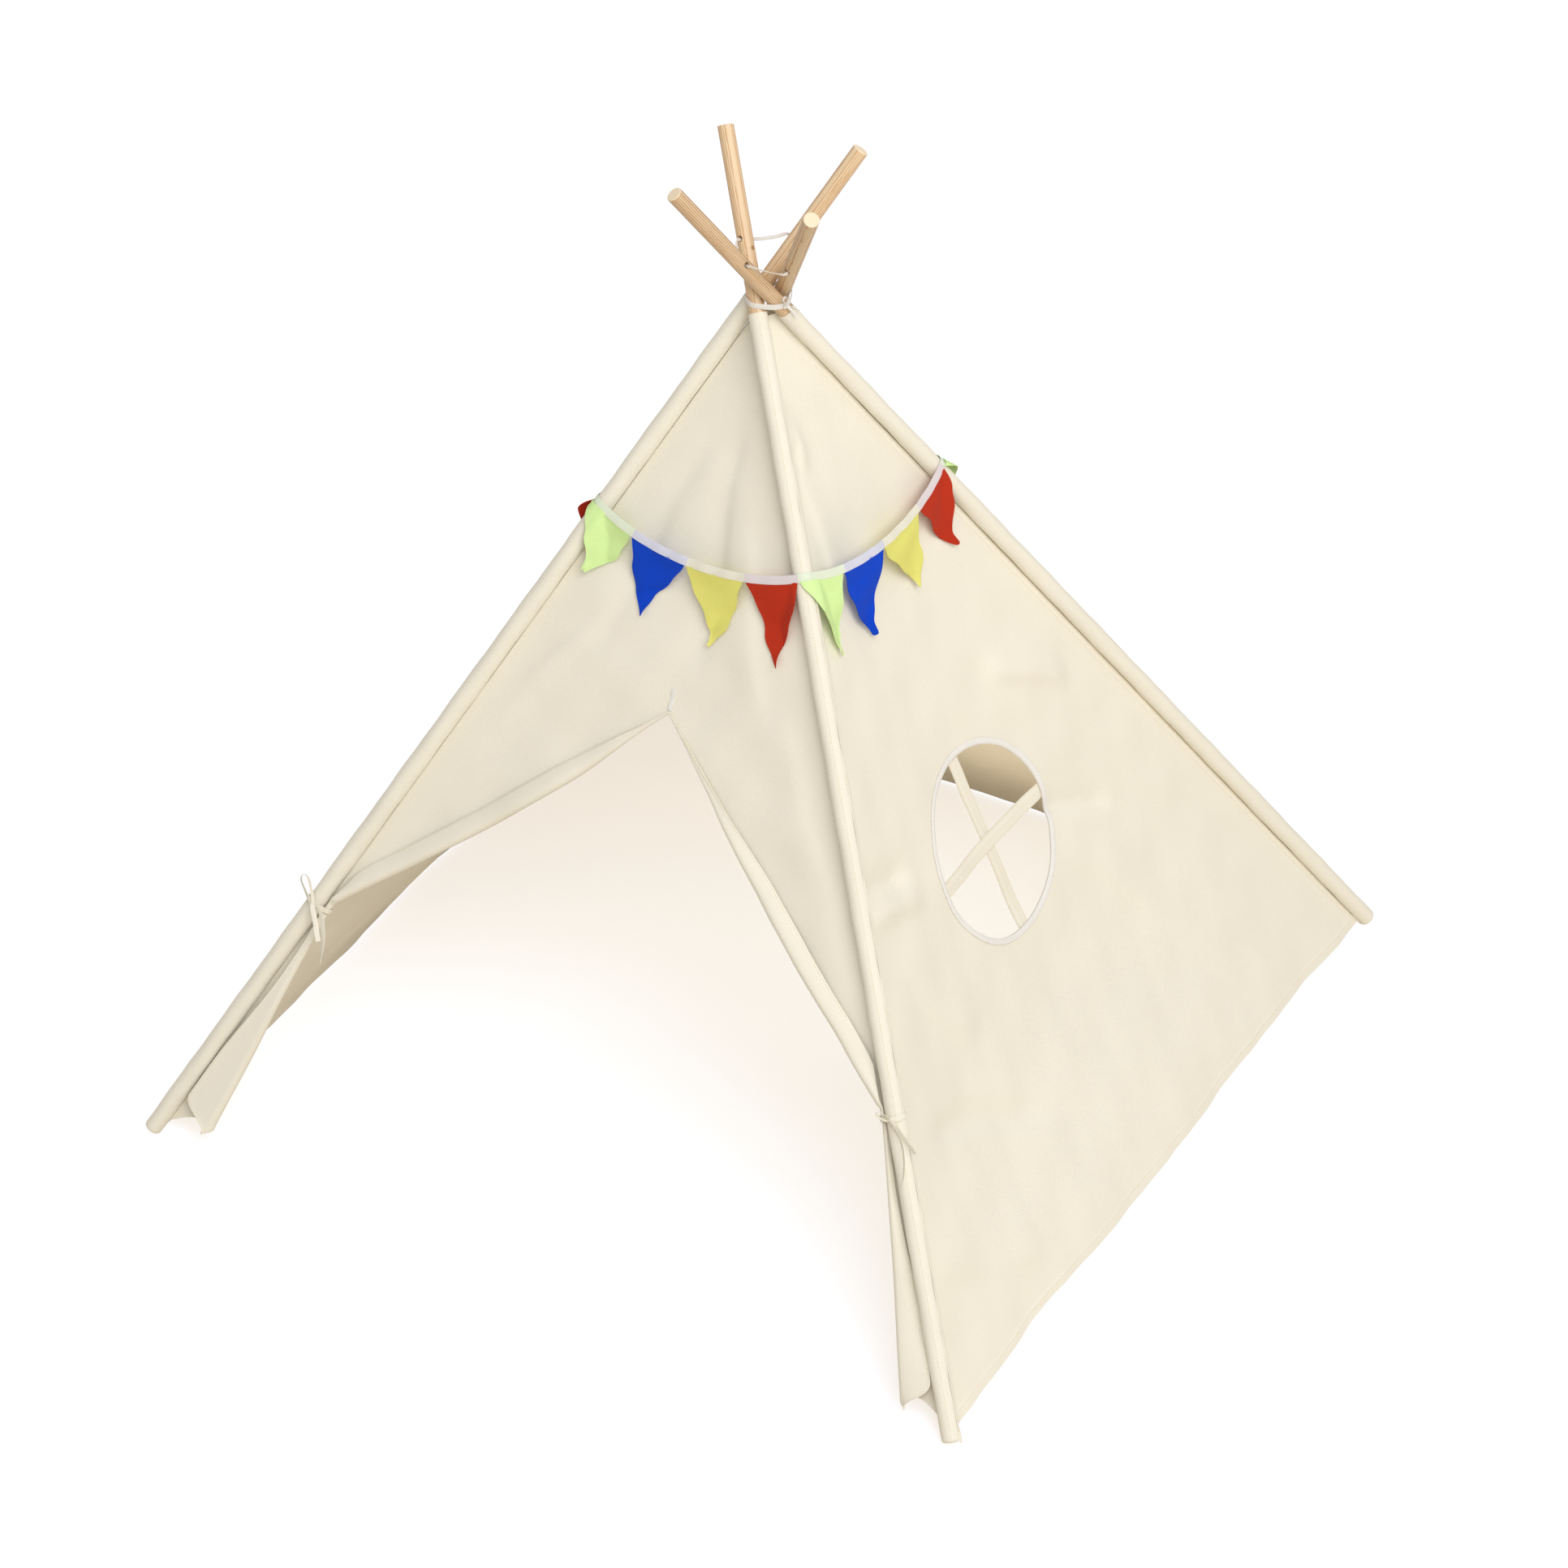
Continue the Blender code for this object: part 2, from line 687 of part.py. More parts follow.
def add_door_tail(side, home):
    """A door flap's lower part, sewn along the sleeve, folded outwards and open below the tie."""
    stations = 9
    pole, inward, outward = pole_side_frame(0, side, TIE_UP_POLE)
    beside = beside_sleeve()
    start = TIE_UP_POLE - FLAP_BELOW_TIE - GAP * 2
    rows = []
    for station in range(stations + 1):
        share = station / stations
        height = (1 - share) * start * math.cos(POLE_TILT)
        opened = smooth(share / TAIL_OPEN_SHARE)
        turn_in = GATHER_TURN_IN + (TAIL_TURN_IN - GATHER_TURN_IN) * share
        radius = GATHER_RADIUS + (TAIL_ROLL_RADIUS - GATHER_RADIUS) * opened
        back = GATHER_TURN_BACK + (turn_in * TAIL_TURN_BACK_SHARE - GATHER_TURN_BACK) * opened
        turn_back = back * smooth(TAIL_CURL_SHARE + height / TAIL_CURL_HEIGHT)
        row = []
        for step_in, out in roll_section(turn_in, radius, turn_back):
            aside = inward * (beside + step_in) + outward * (out - WALL_INSET)
            floor = (TAIL_LIFT - aside.z) / math.cos(POLE_TILT)
            row.append(up_pole(pole, start + (floor - start) * share) + aside)
        rows.append(row)
    name = f"{('left', 'right')[side]}_door_flap_tail"
    return cloth(name, rows, CANVAS, canvas_cloth(), home, POLE_NAMES[side])


def add_slit_tab(home):
    """The white tape sewn over the top end of the door's slit."""
    sections = []
    for step in range(5):
        up = SLIT_UP_POLE + GAP + TAB_LENGTH * step / 4
        centre = cloth_point(0, 0.5, up, CANVAS / 2 + GAP + TAPE_THICKNESS / 2)
        along = cloth_point(0, 0.5, up + TAB_LENGTH) - cloth_point(0, 0.5, up)
        out = outward_at(0, 0.5, up)
        sections.append(tape_section(centre, along.cross(out), out, TAB_WIDTH, TAPE_THICKNESS))
    return loft("door_slit_tab", sections, False, white_tape(), home, POLE_NAMES[1])


def window_spot(turn, radius, off=0, aside=0):
    """A point on the right wall's cloth: an angle, a distance from the window's middle, a side step."""
    x = radius * math.cos(turn) - aside * math.sin(turn)
    y = radius * math.sin(turn) + aside * math.cos(turn)
    up = (WINDOW_UP_SLOPE + y) / SLOPE_SHARE
    return cloth_point(1, 0.5 + x / wall_width(1, up), up, off)


def add_window(wall, home, cutters):
    """The window's hole, its binding tape folded round the cut edge, and the two straps."""
    radius = WINDOW_DIAMETER / 2
    middle = window_spot(0, 0)
    outward = outward_at(1, 0.5, WINDOW_UP_SLOPE / SLOPE_SHARE)
    sections = []
    reach = WALL_SAG_SHARE * BASE_SIDE
    for step in range(BINDING_STEPS):
        turn = 2 * math.pi * step / BINDING_STEPS
        rim = window_spot(turn, radius + GAP + BINDING_CLOTH)
        flat = rim - outward * (rim - middle).dot(outward)
        sections.append([flat - outward * reach, flat + outward * reach])
    punch = add_punch("window_punch", sections, cutters)
    add_boolean(wall, punch)
    add_window_binding(radius, home)
    for name, turn, depth in (("level", 0, 0), ("upright", math.pi / 2, 1)):
        add_window_strap(f"window_{name}_strap", turn, depth, radius, home)


def add_punch(name, sections, cutters):
    """A straight-sided cutter through the outline of the window's hole."""
    mesh = bpy.data.meshes.new(name)
    shape = bmesh.new()
    low = [shape.verts.new(points[0]) for points in sections]
    high = [shape.verts.new(points[1]) for points in sections]
    shape.faces.new(low)
    shape.faces.new(high)
    for index in range(len(sections)):
        ahead = (index + 1) % len(sections)
        shape.faces.new((low[index], low[ahead], high[ahead], high[index]))
    bmesh.ops.recalc_face_normals(shape, faces=shape.faces)
    shape.to_mesh(mesh)
    shape.free()
    punch = add_object(name, mesh, cutters)
    hide_cutter(punch)
    return punch


def add_window_binding(radius, home):
    """A tape folded over the hole's edge: a channel section carried round the rim."""
    slot = CANVAS / 2 + BINDING_ROOM
    outside = slot + BINDING_CLOTH
    profile = [
        (0, -outside),
        (BINDING_WIDTH, -outside),
        (BINDING_WIDTH, -slot),
        (BINDING_CLOTH, -slot),
        (BINDING_CLOTH, slot),
        (BINDING_WIDTH, slot),
        (BINDING_WIDTH, outside),
        (0, outside),
    ]
    sections = []
    for step in range(BINDING_STEPS):
        turn = 2 * math.pi * step / BINDING_STEPS
        sections.append([window_spot(turn, radius + away, off) for away, off in profile])
    return loft("window_binding", sections, True, white_tape(), home, POLE_NAMES[1])


def add_window_strap(name, turn, layer, radius, home):
    """A folded canvas strap across the window, sewn to the inside of the wall at both ends."""
    behind = CANVAS / 2 + BINDING_ROOM + BINDING_CLOTH + GAP + STRAP_THICKNESS / 2
    end = radius + BINDING_WIDTH + STRAP_SEAM
    half = STRAP_WIDTH / 2
    steps = 12
    sections = []
    for step in range(steps + 1):
        share = step / steps
        hang = behind + (STRAP_THICKNESS + GAP * 2) * layer * smooth(math.sin(math.pi * share))
        distance = end * (2 * share - 1)
        inner, outer = -hang - STRAP_THICKNESS / 2, -hang + STRAP_THICKNESS / 2
        corners = ((-half, inner), (half, inner), (half, outer), (-half, outer))
        sections.append([window_spot(turn, distance, off, aside) for aside, off in corners])
    return loft(name, sections, False, canvas_cloth(), home, POLE_NAMES[1])


# Ties, bows and the tape through the poles' holes
def add_top_tie(home):
    """The tape round all four poles, just above the sleeves, drawn to the poles' outline."""
    rim = SLEEVE_TOP * math.cos(POLE_TILT) + SLEEVE_RADIUS * math.sin(POLE_TILT)
    low = rim + TOP_TIE_ABOVE_SLEEVE
    points = []
    for height in (low, low + TIE_WIDTH):
        for turns in range(4):
            pole = pole_line(turns)
            spot = up_pole(pole, height / math.cos(POLE_TILT))
            angle = math.atan2(pole.level.y, pole.level.x)
            long_radius = POLE_RADIUS / math.cos(POLE_TILT)
            points += round_points(spot.x, spot.y, long_radius, POLE_RADIUS, angle)
    origin = UP * (low + TIE_WIDTH / 2)
    first, second = Vector((1, 0, 0)), Vector((0, 1, 0))
    tape_ring(
        "top_tie_loop", points, origin, first, second, TIE_WIDTH, TIE_THICKNESS, white_tape(), home, None
    )
    out = Vector((math.cos(TOP_BOW_HEADING), math.sin(TOP_BOW_HEADING), 0))
    reach = max(x * out.x + y * out.y for x, y in points)
    spot = origin + out * (reach + GAP + TIE_THICKNESS)
    add_bow(
        "top_tie", spot, UP.cross(out), UP, out, TOP_BOW_SIZE, TOP_BOW_TAPE, TOP_BOW_LEAN,
        white_tape(), home, None,
    )


def add_bow(name, spot, across, along, out, size, tape, lean, finish, home, pivot):
    """A bow in front of a loop: one tape from end to end, pinched by a small knot ring."""
    knot = KNOT_LENGTH_SHARE * size
    places = []
    turns = []
    for x, y, z, turn in BOW_ROUTE_SHARES:
        below = max(-y * size - knot, 0)
        front = out * (z * BOW_SIZE + below * math.tan(lean))
        places.append(spot + across * (x * size) + along * (y * size) + front)
        turns.append(Vector((turn, y * size, 0)))
    steps = 3
    path = curve_through(places, steps)
    twist = curve_through(turns, steps)
    sections = []
    for index, centre in enumerate(path):
        ahead = path[min(index + 1, len(path) - 1)] - path[max(index - 1, 0)]
        angle = math.radians(twist[index].x)
        wide = across * math.cos(angle) + out * math.sin(angle)
        wide = wide - ahead.normalized() * wide.dot(ahead.normalized())
        pinch = smooth((abs(twist[index].y) - knot / 2) / knot)
        width = BOW_WAIST + (tape - BOW_WAIST) * pinch
        sections.append(tape_section(centre, wide, wide.cross(ahead), width, TIE_THICKNESS))
    loft(f"{name}_bow", sections, False, finish, home, pivot)
    back = BOW_ROUTE_SHARES[4][2] * BOW_SIZE
    front = BOW_ROUTE_SHARES[12][2] * BOW_SIZE
    ring = round_points(0, back, KNOT_WIDTH / 2, KNOT_WRAP, 0, 16)
    ring += round_points(0, front, KNOT_WIDTH / 2, KNOT_WRAP, 0, 16)
    tape_ring(f"{name}_knot", ring, spot, across, out, knot, TIE_THICKNESS, finish, home, pivot)


def add_tie_back(side, home):
    """A canvas tape round the sleeve and the gathered flap, with its bow on the outside."""
    pole, inward, outward = pole_side_frame(0, side, TIE_UP_POLE)
    neighbour = pole_side_frame((-1, 1)[side], 1 - side, TIE_UP_POLE)
    seam = neighbour[1] * beside_sleeve() - neighbour[2] * WALL_INSET
    seam_angle = math.atan2(seam.dot(outward), seam.dot(inward))
    points = round_points(0, 0, SLEEVE_RADIUS, SLEEVE_RADIUS)
    bundle = GATHER_RADIUS + CANVAS
    gather_x = beside_sleeve() + GATHER_TURN_IN
    gather_y = GATHER_RADIUS - WALL_INSET
    points += round_points(gather_x + GAP, gather_y, bundle, bundle)
    origin = up_pole(pole, TIE_UP_POLE)
    name = f"{('left', 'right')[side]}_tie_back"
    place_name = POLE_NAMES[side]
    open_loop = []
    for x, y in outline_of(points):
        turned = (math.atan2(y, x) - seam_angle) % (2 * math.pi)
        if TIE_SEAM_ROOM < turned < 2 * math.pi - TIE_SEAM_ROOM:
            open_loop.append((turned, x, y))
    sections = []
    for _, x, y in sorted(open_loop):
        sections.append((x, y))
    tape_arc(f"{name}_loop", sections, origin, inward, outward, home, place_name)
    facing = (outward + inward * BOW_TOWARDS_DOOR_SHARE).normalized()
    reach = max(x * facing.dot(inward) + y * facing.dot(outward) for x, y in points)
    beside = facing.cross(pole.along) * (1, -1)[side]
    spot = origin + facing * (reach + GAP + TIE_THICKNESS) + beside * (bundle / 2)
    add_bow(
        name, spot, -beside, pole.along, facing, BOW_SIZE, TIE_WIDTH, 0,
        canvas_cloth(), home, place_name,
    )


def tape_arc(name, loop, origin, first, second, home, pivot):
    """An open band of canvas tape on the outside of flat points, sewn down at both ends."""
    axis = first.cross(second)
    sections = []
    for index, (x, y) in enumerate(loop):
        ax, ay = loop[max(index - 1, 0)]
        bx, by = loop[min(index + 1, len(loop) - 1)]
        size = math.hypot(by - ay, bx - ax)
        out = first * ((by - ay) / size) + second * ((ax - bx) / size)
        centre = origin + first * x + second * y + out * (GAP + TIE_THICKNESS / 2)
        sections.append(tape_section(centre, axis, out, TIE_WIDTH, TIE_THICKNESS))
    return loft(name, sections, False, canvas_cloth(), home, pivot)


def hole_way(pole):
    """The direction in which a pole's hole is drilled."""
    turned = pole.along.cross(pole.across)
    return pole.across * math.cos(HOLE_TURN) + turned * math.sin(HOLE_TURN)


def square_up(way):
    """The direction nearest to up that is square to another."""
    return (UP - way * UP.dot(way)).normalized()


def add_threading_tape(home):
    """The tape that runs through the four poles' holes in a ring and keeps them together."""
    middles = []
    out_of_hole = POLE_RADIUS + THREAD_WIDTH
    rest = HOLE_DIAMETER / 2 - THREAD_WIDTH / 2 - 2 * GAP
    for turns in range(4):
        pole, following = pole_line(turns), pole_line(turns + 1)
        way, next_way = hole_way(pole), hole_way(following)
        hole = up_pole(pole, POLE_TOP - HOLE_FROM_TOP) - square_up(way) * rest
        ahead = up_pole(following, POLE_TOP - HOLE_FROM_TOP) - square_up(next_way) * rest
        leave = hole + way * out_of_hole
        arrive = ahead - next_way * out_of_hole
        middles += [hole - way * (POLE_RADIUS / 2), hole + way * (POLE_RADIUS / 2), leave]
        for share in THREAD_SAG_SHARES:
            middles.append(leave.lerp(arrive, share) - UP * THREAD_SAG)
        middles.append(arrive)
    sections = []
    for index, centre in enumerate(middles):
        ahead = middles[(index + 1) % len(middles)] - middles[index - 1]
        wide = square_up(ahead.normalized())
        sections.append(
            tape_section(centre, wide, wide.cross(ahead), THREAD_WIDTH, TAPE_THICKNESS)
        )
    return loft("threading_tape", sections, True, white_tape(), home, None)


# Bunting
def bunting_path(wall):
    """The tape's middle line over one wall, as points with its width and its outward direction."""
    stand_off = SLEEVE_RADIUS + GAP + TAPE_THICKNESS / 2
    steps_round, steps_across = 3, FLAGS_PER_SPAN * FLAG_COLUMNS
    found = []
    for side in (0, 1):
        pole, inward, outward = pole_side_frame(wall, side, BUNTING_UP_POLE)
        _, _, other = pole_side_frame(wall - 1 if side == 0 else wall + 1, 1 - side, BUNTING_UP_POLE)
        corner = outward.angle(other) / 2 - GAP / stand_off
        round_sleeve = []
        for step in range(steps_round):
            turn = corner * (1 - step / steps_round)
            out = outward * math.cos(turn) - inward * math.sin(turn)
            spot = up_pole(pole, BUNTING_UP_POLE) + out * stand_off
            round_sleeve.append((spot, pole.along, out))
        found.append(round_sleeve)
    over = []
    for step in range(steps_across + 1):
        share = step / steps_across
        up = bunting_up(share)
        spot = place(wall, share, up, stand_off)
        out = outward_at(wall, share, up)
        ahead = place(wall, share + GAP, bunting_up(share + GAP), stand_off)
        before = place(wall, share - GAP, bunting_up(share - GAP), stand_off)
        over.append((spot, out.cross(ahead - before), out))
    return found[0] + over + found[1][::-1]


def bunting_up(share):
    return BUNTING_UP_POLE - SPAN_DROP / SLOPE_SHARE * 4 * share * (1 - share)


def add_bunting_span(wall, home):
    name = f"bunting_tape_{WALL_NAMES[wall]}"
    sections = []
    for spot, wide, out in bunting_path(wall):
        sections.append(tape_section(spot, wide, out, TAPE_WIDTH, TAPE_THICKNESS))
    loft(name, sections, False, white_tape(), home, POLE_NAMES[wall])
    for index, colour in enumerate(FLAG_COLOURS):
        add_flag(wall, index, colour, home)


def flat_place(wall, x, y, lift):
    """A point over a wall from its distance off the wall's middle and its distance up the slope."""
    up = y / SLOPE_SHARE
    return place(wall, 0.5 + x / wall_width(wall, up), up, lift)


def cloth_reach(wall, x, y):
    """How far out the wall or a sleeve reaches from the pole axes, at a flat place."""
    up = y / SLOPE_SHARE
    width = wall_width(wall, up)
    beside = max(abs(width / 2 - abs(x)) - SLEEVE_RADIUS, 0)
    reach = wall_lift(wall, min(max(0.5 + x / width, 0), 1), up) + CANVAS / 2
    return max(reach, SLEEVE_RADIUS - beside * FLAG_SLOPE_BESIDE_SLEEVE)


def flat_tape(wall, share):
    """The bunting tape's middle line as a flat place."""
    up = bunting_up(share)
    return Vector(((share - 0.5) * wall_width(wall, up), up * SLOPE_SHARE, 0))


def add_flag(wall, index, colour, home):
    """A pennant that hangs square to the tape, narrows to a swaying tip and lies near the wall."""
    stand_off = SLEEVE_RADIUS + GAP + TAPE_THICKNESS / 2
    start = flat_tape(wall, index / FLAGS_PER_SPAN)
    end = flat_tape(wall, (index + 1) / FLAGS_PER_SPAN)
    ahead = (end - start).normalized()
    down_way = Vector((ahead.y, -ahead.x, 0))
    rows = []
    for row in range(FLAG_ROWS + 1):
        down = row / FLAG_ROWS
        points = []
        for column in range(FLAG_COLUMNS + 1):
            across = column / FLAG_COLUMNS
            top = flat_tape(wall, (index + across) / FLAGS_PER_SPAN)
            off_middle = (top - start).dot(ahead) - (end - start).length / 2
            inset = 1 - FLAG_SPACING / (end - start).length
            narrow = FLAG_TIP / (end - start).length
            shrink = inset + (narrow - inset) * down**FLAG_CURVE
            wave = math.pi * (FLAG_WAVES * down + FLAG_WAVE_STEP * index)
            sway = FLAG_LENGTH * FLAG_SWAY_SHARE * math.sin(wave) * down
            drop = TAPE_WIDTH / 2 + GAP * 2 + FLAG_LENGTH * down
            spot = top - ahead * (off_middle * (1 - shrink) - sway) + down_way * drop
            hang = stand_off - FLAG_LENGTH * down * FLAG_LEAN
            clear = CANVAS / 2 + FLAG_CLOTH / 2 + GAP + FLAG_CLEARANCE * smooth(down * 3)
            lift = max(hang, cloth_reach(wall, spot.x, spot.y) + clear)
            points.append(flat_place(wall, spot.x, spot.y, lift))
        rows.append(points)
    name = f"flag_{WALL_NAMES[wall]}_{colour}"
    finish = material(f"{colour}_cotton", FLAG_COLOURS[colour], 0.8)
    return cloth(name, rows, FLAG_CLOTH, finish, home, POLE_NAMES[wall])


def build():
    for item in list(bpy.data.objects):
        bpy.data.objects.remove(item, do_unlink=True)
    home = collection("kids_teepee")
    cutters = collection("cutters")
    add_pivots(home)
    floor = add_floor_cutter(cutters)
    for turns in range(4):
        add_pole(turns, home, cutters)
        add_sleeve(turns, home, floor)
    add_front_wall(home)
    window_wall = add_plain_wall(1, home)
    add_window(window_wall, home, cutters)
    add_plain_wall(2, home)
    add_plain_wall(3, home)
    for side in (0, 1):
        add_door_fold(side, home)
        add_door_tail(side, home)
        add_tie_back(side, home)
    add_slit_tab(home)
    add_top_tie(home)
    add_threading_tape(home)
    for wall in range(4):
        add_bunting_span(wall, home)


build()
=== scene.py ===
"""A child's teepee: a canvas cover sewn round four pine poles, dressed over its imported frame."""

import math

import bpy
import numpy as np
from mathutils import Matrix, Vector


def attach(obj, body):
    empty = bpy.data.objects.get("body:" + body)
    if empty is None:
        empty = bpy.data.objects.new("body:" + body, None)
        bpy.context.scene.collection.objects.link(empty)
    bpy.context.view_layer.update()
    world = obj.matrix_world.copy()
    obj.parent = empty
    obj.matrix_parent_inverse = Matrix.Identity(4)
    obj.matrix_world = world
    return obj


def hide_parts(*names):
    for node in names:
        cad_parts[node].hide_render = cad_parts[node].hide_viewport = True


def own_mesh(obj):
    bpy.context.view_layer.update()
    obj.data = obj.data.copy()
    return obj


bl_info = {
    "name": "Kids Teepee",
    "version": (1, 0, 0),
    "blender": (4, 5, 0),
    "location": "View3D > Sidebar > Teepee",
    "description": "Sews, ties and lights a canvas teepee on four pine poles",
    "category": "Object",
}

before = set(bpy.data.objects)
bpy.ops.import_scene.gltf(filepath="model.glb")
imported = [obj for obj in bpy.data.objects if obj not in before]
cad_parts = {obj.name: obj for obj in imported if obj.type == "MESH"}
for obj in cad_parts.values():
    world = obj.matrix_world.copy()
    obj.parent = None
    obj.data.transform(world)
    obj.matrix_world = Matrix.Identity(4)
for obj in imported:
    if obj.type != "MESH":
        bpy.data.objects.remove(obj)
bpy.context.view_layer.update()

# The frame's sizes in metres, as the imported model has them
BASE_SIDE = 1.172
POLE_TILT = math.radians(36.3)
POLE_RADIUS = 0.010
POLE_PAST_CROSSING = 0.202
CROSSING_OFFSET = 0.018
HOLE_FROM_TOP = 0.137
HOLE_TURN = math.radians(35)
CANVAS = 0.0011
SLEEVE_RADIUS = 0.0120
SLEEVE_BELOW_CROSSING = 0.025
SEAM_GAP = 0.0003
WALL_INSET = 0.008
HEM_LIFT = 0.006
WALL_TOP_BELOW_SLEEVE = 0.006
TAPE_THICKNESS = 0.0008

FOOT_RADIUS = BASE_SIDE / math.sqrt(2)
CROSSING_UP_POLE = math.sqrt(FOOT_RADIUS**2 - CROSSING_OFFSET**2) / math.sin(POLE_TILT)
POLE_RISE = math.cos(POLE_TILT)
SLOPE_LENGTH = math.hypot(BASE_SIDE / 2, CROSSING_UP_POLE * POLE_RISE)
SLOPE_SHARE = SLOPE_LENGTH / CROSSING_UP_POLE
POLE_TOP = CROSSING_UP_POLE + POLE_PAST_CROSSING
SLEEVE_TOP = CROSSING_UP_POLE - SLEEVE_BELOW_CROSSING
WALL_TOP = SLEEVE_TOP - WALL_TOP_BELOW_SLEEVE
SLIT_UP_POLE = CROSSING_UP_POLE * 0.584
TIE_UP_POLE = CROSSING_UP_POLE * 0.2865
WINDOW_UP_SLOPE = SLOPE_LENGTH * 0.394
BUNTING_UP_POLE = CROSSING_UP_POLE * 0.7537
# Where a wall's cloth starts beside its sleeve, and how far off the cloth's middle its stitches lie
BESIDE_SLEEVE = math.sqrt(SLEEVE_RADIUS**2 - (WALL_INSET - CANVAS / 2) ** 2) + SEAM_GAP
STITCH_OFF = CANVAS + 0.00005
# How deep the cloth sags, in shares of its width: the front wall, and the others at their ends and middle
FRONT_SAG = 0.020
WALL_SAG = (0.002, 0.048)

SIDES = ("left", "right")
LEG_NAMES = ("left", "front", "right", "rear")
WALL_NAMES = ("front", "right", "rear", "left")
FLAG_ORDER = ("green", "blue", "yellow", "red")
UP = np.array((0.0, 0.0, 1.0))

# Soft creases pressed in each wall: from and to in its flat place, height and half width, in millimetres
CREASES = (
    ((-330, 520, -60, 930, 4.0, 20), (-250, 700, -120, 830, -3.4, 12), (-110, 800, -30, 1080, -3.6, 14),
     (120, 760, 40, 1000, 3.4, 16), (30, 800, 10, 1120, -3.0, 12), (330, 470, 130, 800, 3.6, 20)),
    ((-46, 1200, -50, 1060, 12.0, 7), (-50, 1075, -85, 880, 4.4, 12), (-330, 600, -180, 562, -12.0, 12),
     (-330, 566, -170, 530, 7.0, 12), (115, 485, 225, 415, -8.6, 11), (110, 690, 230, 600, 8.0, 14),
     (-270, 500, -190, 330, 4.0, 22), (-360, 300, -120, 180, -7.0, 12), (160, 380, 300, 140, 4.0, 22),
     (-480, 180, -250, 60, 3.6, 20)),
    ((46, 1170, 60, 980, 5.6, 10), (-260, 610, -90, 560, -5.0, 12), (60, 420, 260, 340, 4.6, 18),
     (-340, 240, -120, 160, 3.6, 20)),
    ((-46, 1180, -60, 1000, 5.6, 10), (40, 560, 220, 500, -5.0, 12), (-300, 420, -120, 330, 4.4, 20),
     (100, 250, 340, 180, 4.0, 18)),
)


# ---- small sums on points
def unit(vectors):
    return vectors / np.linalg.norm(vectors, axis=-1, keepdims=True)


def smooth(value):
    value = np.clip(value, 0, 1)
    return value * value * (3 - 2 * value)


def blend_to(low, high, share):
    return low + (high - low) * share


def combine(numbers, *ways):
    """Points from numbers along some directions: the last axis of the numbers counts the directions."""
    return np.asarray(numbers) @ np.array(ways)


def square_to(vectors, ahead):
    return unit(vectors - ahead * np.sum(vectors * ahead, -1, keepdims=True))


def run_along(path):
    """The distance along a path at each of its points."""
    return np.concatenate([[0], np.cumsum(np.linalg.norm(np.diff(path, axis=0), axis=1))])


def sample(marks, run, values):
    return np.stack([np.interp(marks, run, column) for column in np.asarray(values).T], -1)


def circle(count):
    return np.linspace(0, 2 * math.pi, count, endpoint=False)


class Pole:
    """One pole's axis: where it meets the floor, its direction up, and its level directions."""

    def __init__(self, turns):
        corner = math.radians(225) + turns * math.pi / 2
        heading = corner + math.pi + math.asin(CROSSING_OFFSET / FOOT_RADIUS)
        self.ground = np.array((math.cos(corner), math.sin(corner), 0)) * FOOT_RADIUS
        self.level = np.array((math.cos(heading), math.sin(heading), 0))
        self.along = self.level * math.sin(POLE_TILT) + UP * POLE_RISE
        self.across = np.cross(UP, self.level)

    def up(self, distance):
        return self.ground + np.multiply.outer(distance, self.along)


def wall_poles(wall):
    """The two poles that carry a wall, from left to right as seen from outside."""
    return Pole(wall), Pole(wall + 1)


def wall_width(wall, up):
    start, end = wall_poles(wall)
    return np.linalg.norm(end.up(up) - start.up(up), axis=-1)


def wall_across(wall):
    """The level direction of a wall from its left pole to its right pole."""
    start, end = wall_poles(wall)
    return unit(end.up(0.4) - start.up(0.4))


def side_frame(wall, side):
    """At one side of a wall: the pole, the direction away from it along the cloth, and outwards."""
    pole = wall_poles(wall)[side]
    outward = unit(np.cross(wall_across(wall), pole.along))
    inward = unit(np.cross(pole.along, outward))
    return pole, inward if side == 0 else -inward, outward


def side_slant(wall, side):
    """How much narrower the cloth is square to a pole than it is level."""
    return np.linalg.norm(np.cross(wall_across(wall), wall_poles(wall)[side].along))


def place(wall, share, up, lift):
    """A point at a share of the way between a wall's poles, lifted outwards from their axes."""
    share, up, lift = np.broadcast_arrays(share, up, lift)
    start, end = wall_poles(wall)
    first = start.up(up)
    across = end.up(up) - first
    lean = start.along + (end.along - start.along) * share[..., None]
    return first + across * share[..., None] + unit(np.cross(across, lean)) * lift[..., None]


def outward_at(wall, share, up):
    return unit(place(wall, share, up, 1.0) - place(wall, share, up, 0.0))


def creases(wall, x, y):
    """The height of the pressed creases at a wall's flat place."""
    found = np.zeros(np.broadcast(x, y).shape)
    for row in CREASES[wall]:
        ax, ay, bx, by, height, half = (value / 1000 for value in row)
        length = math.hypot(bx - ax, by - ay)
        dx, dy = (bx - ax) / length, (by - ay) / length
        along = (x - ax) * dx + (y - ay) * dy
        aside = (x - ax) * dy - (y - ay) * dx
        # No crease runs quite straight, and each is steeper on one side than on the other
        aside = aside + 0.004 * np.sin(along * 31 + ax * 40)
        fade = smooth(along / (0.3 * length) + 0.3) * smooth((length - along) / (0.3 * length) + 0.3)
        steep = np.where(aside > 0, 1.0, 0.55)
        found += height * fade * np.exp(-((aside * steep / half) ** 2))
    return found


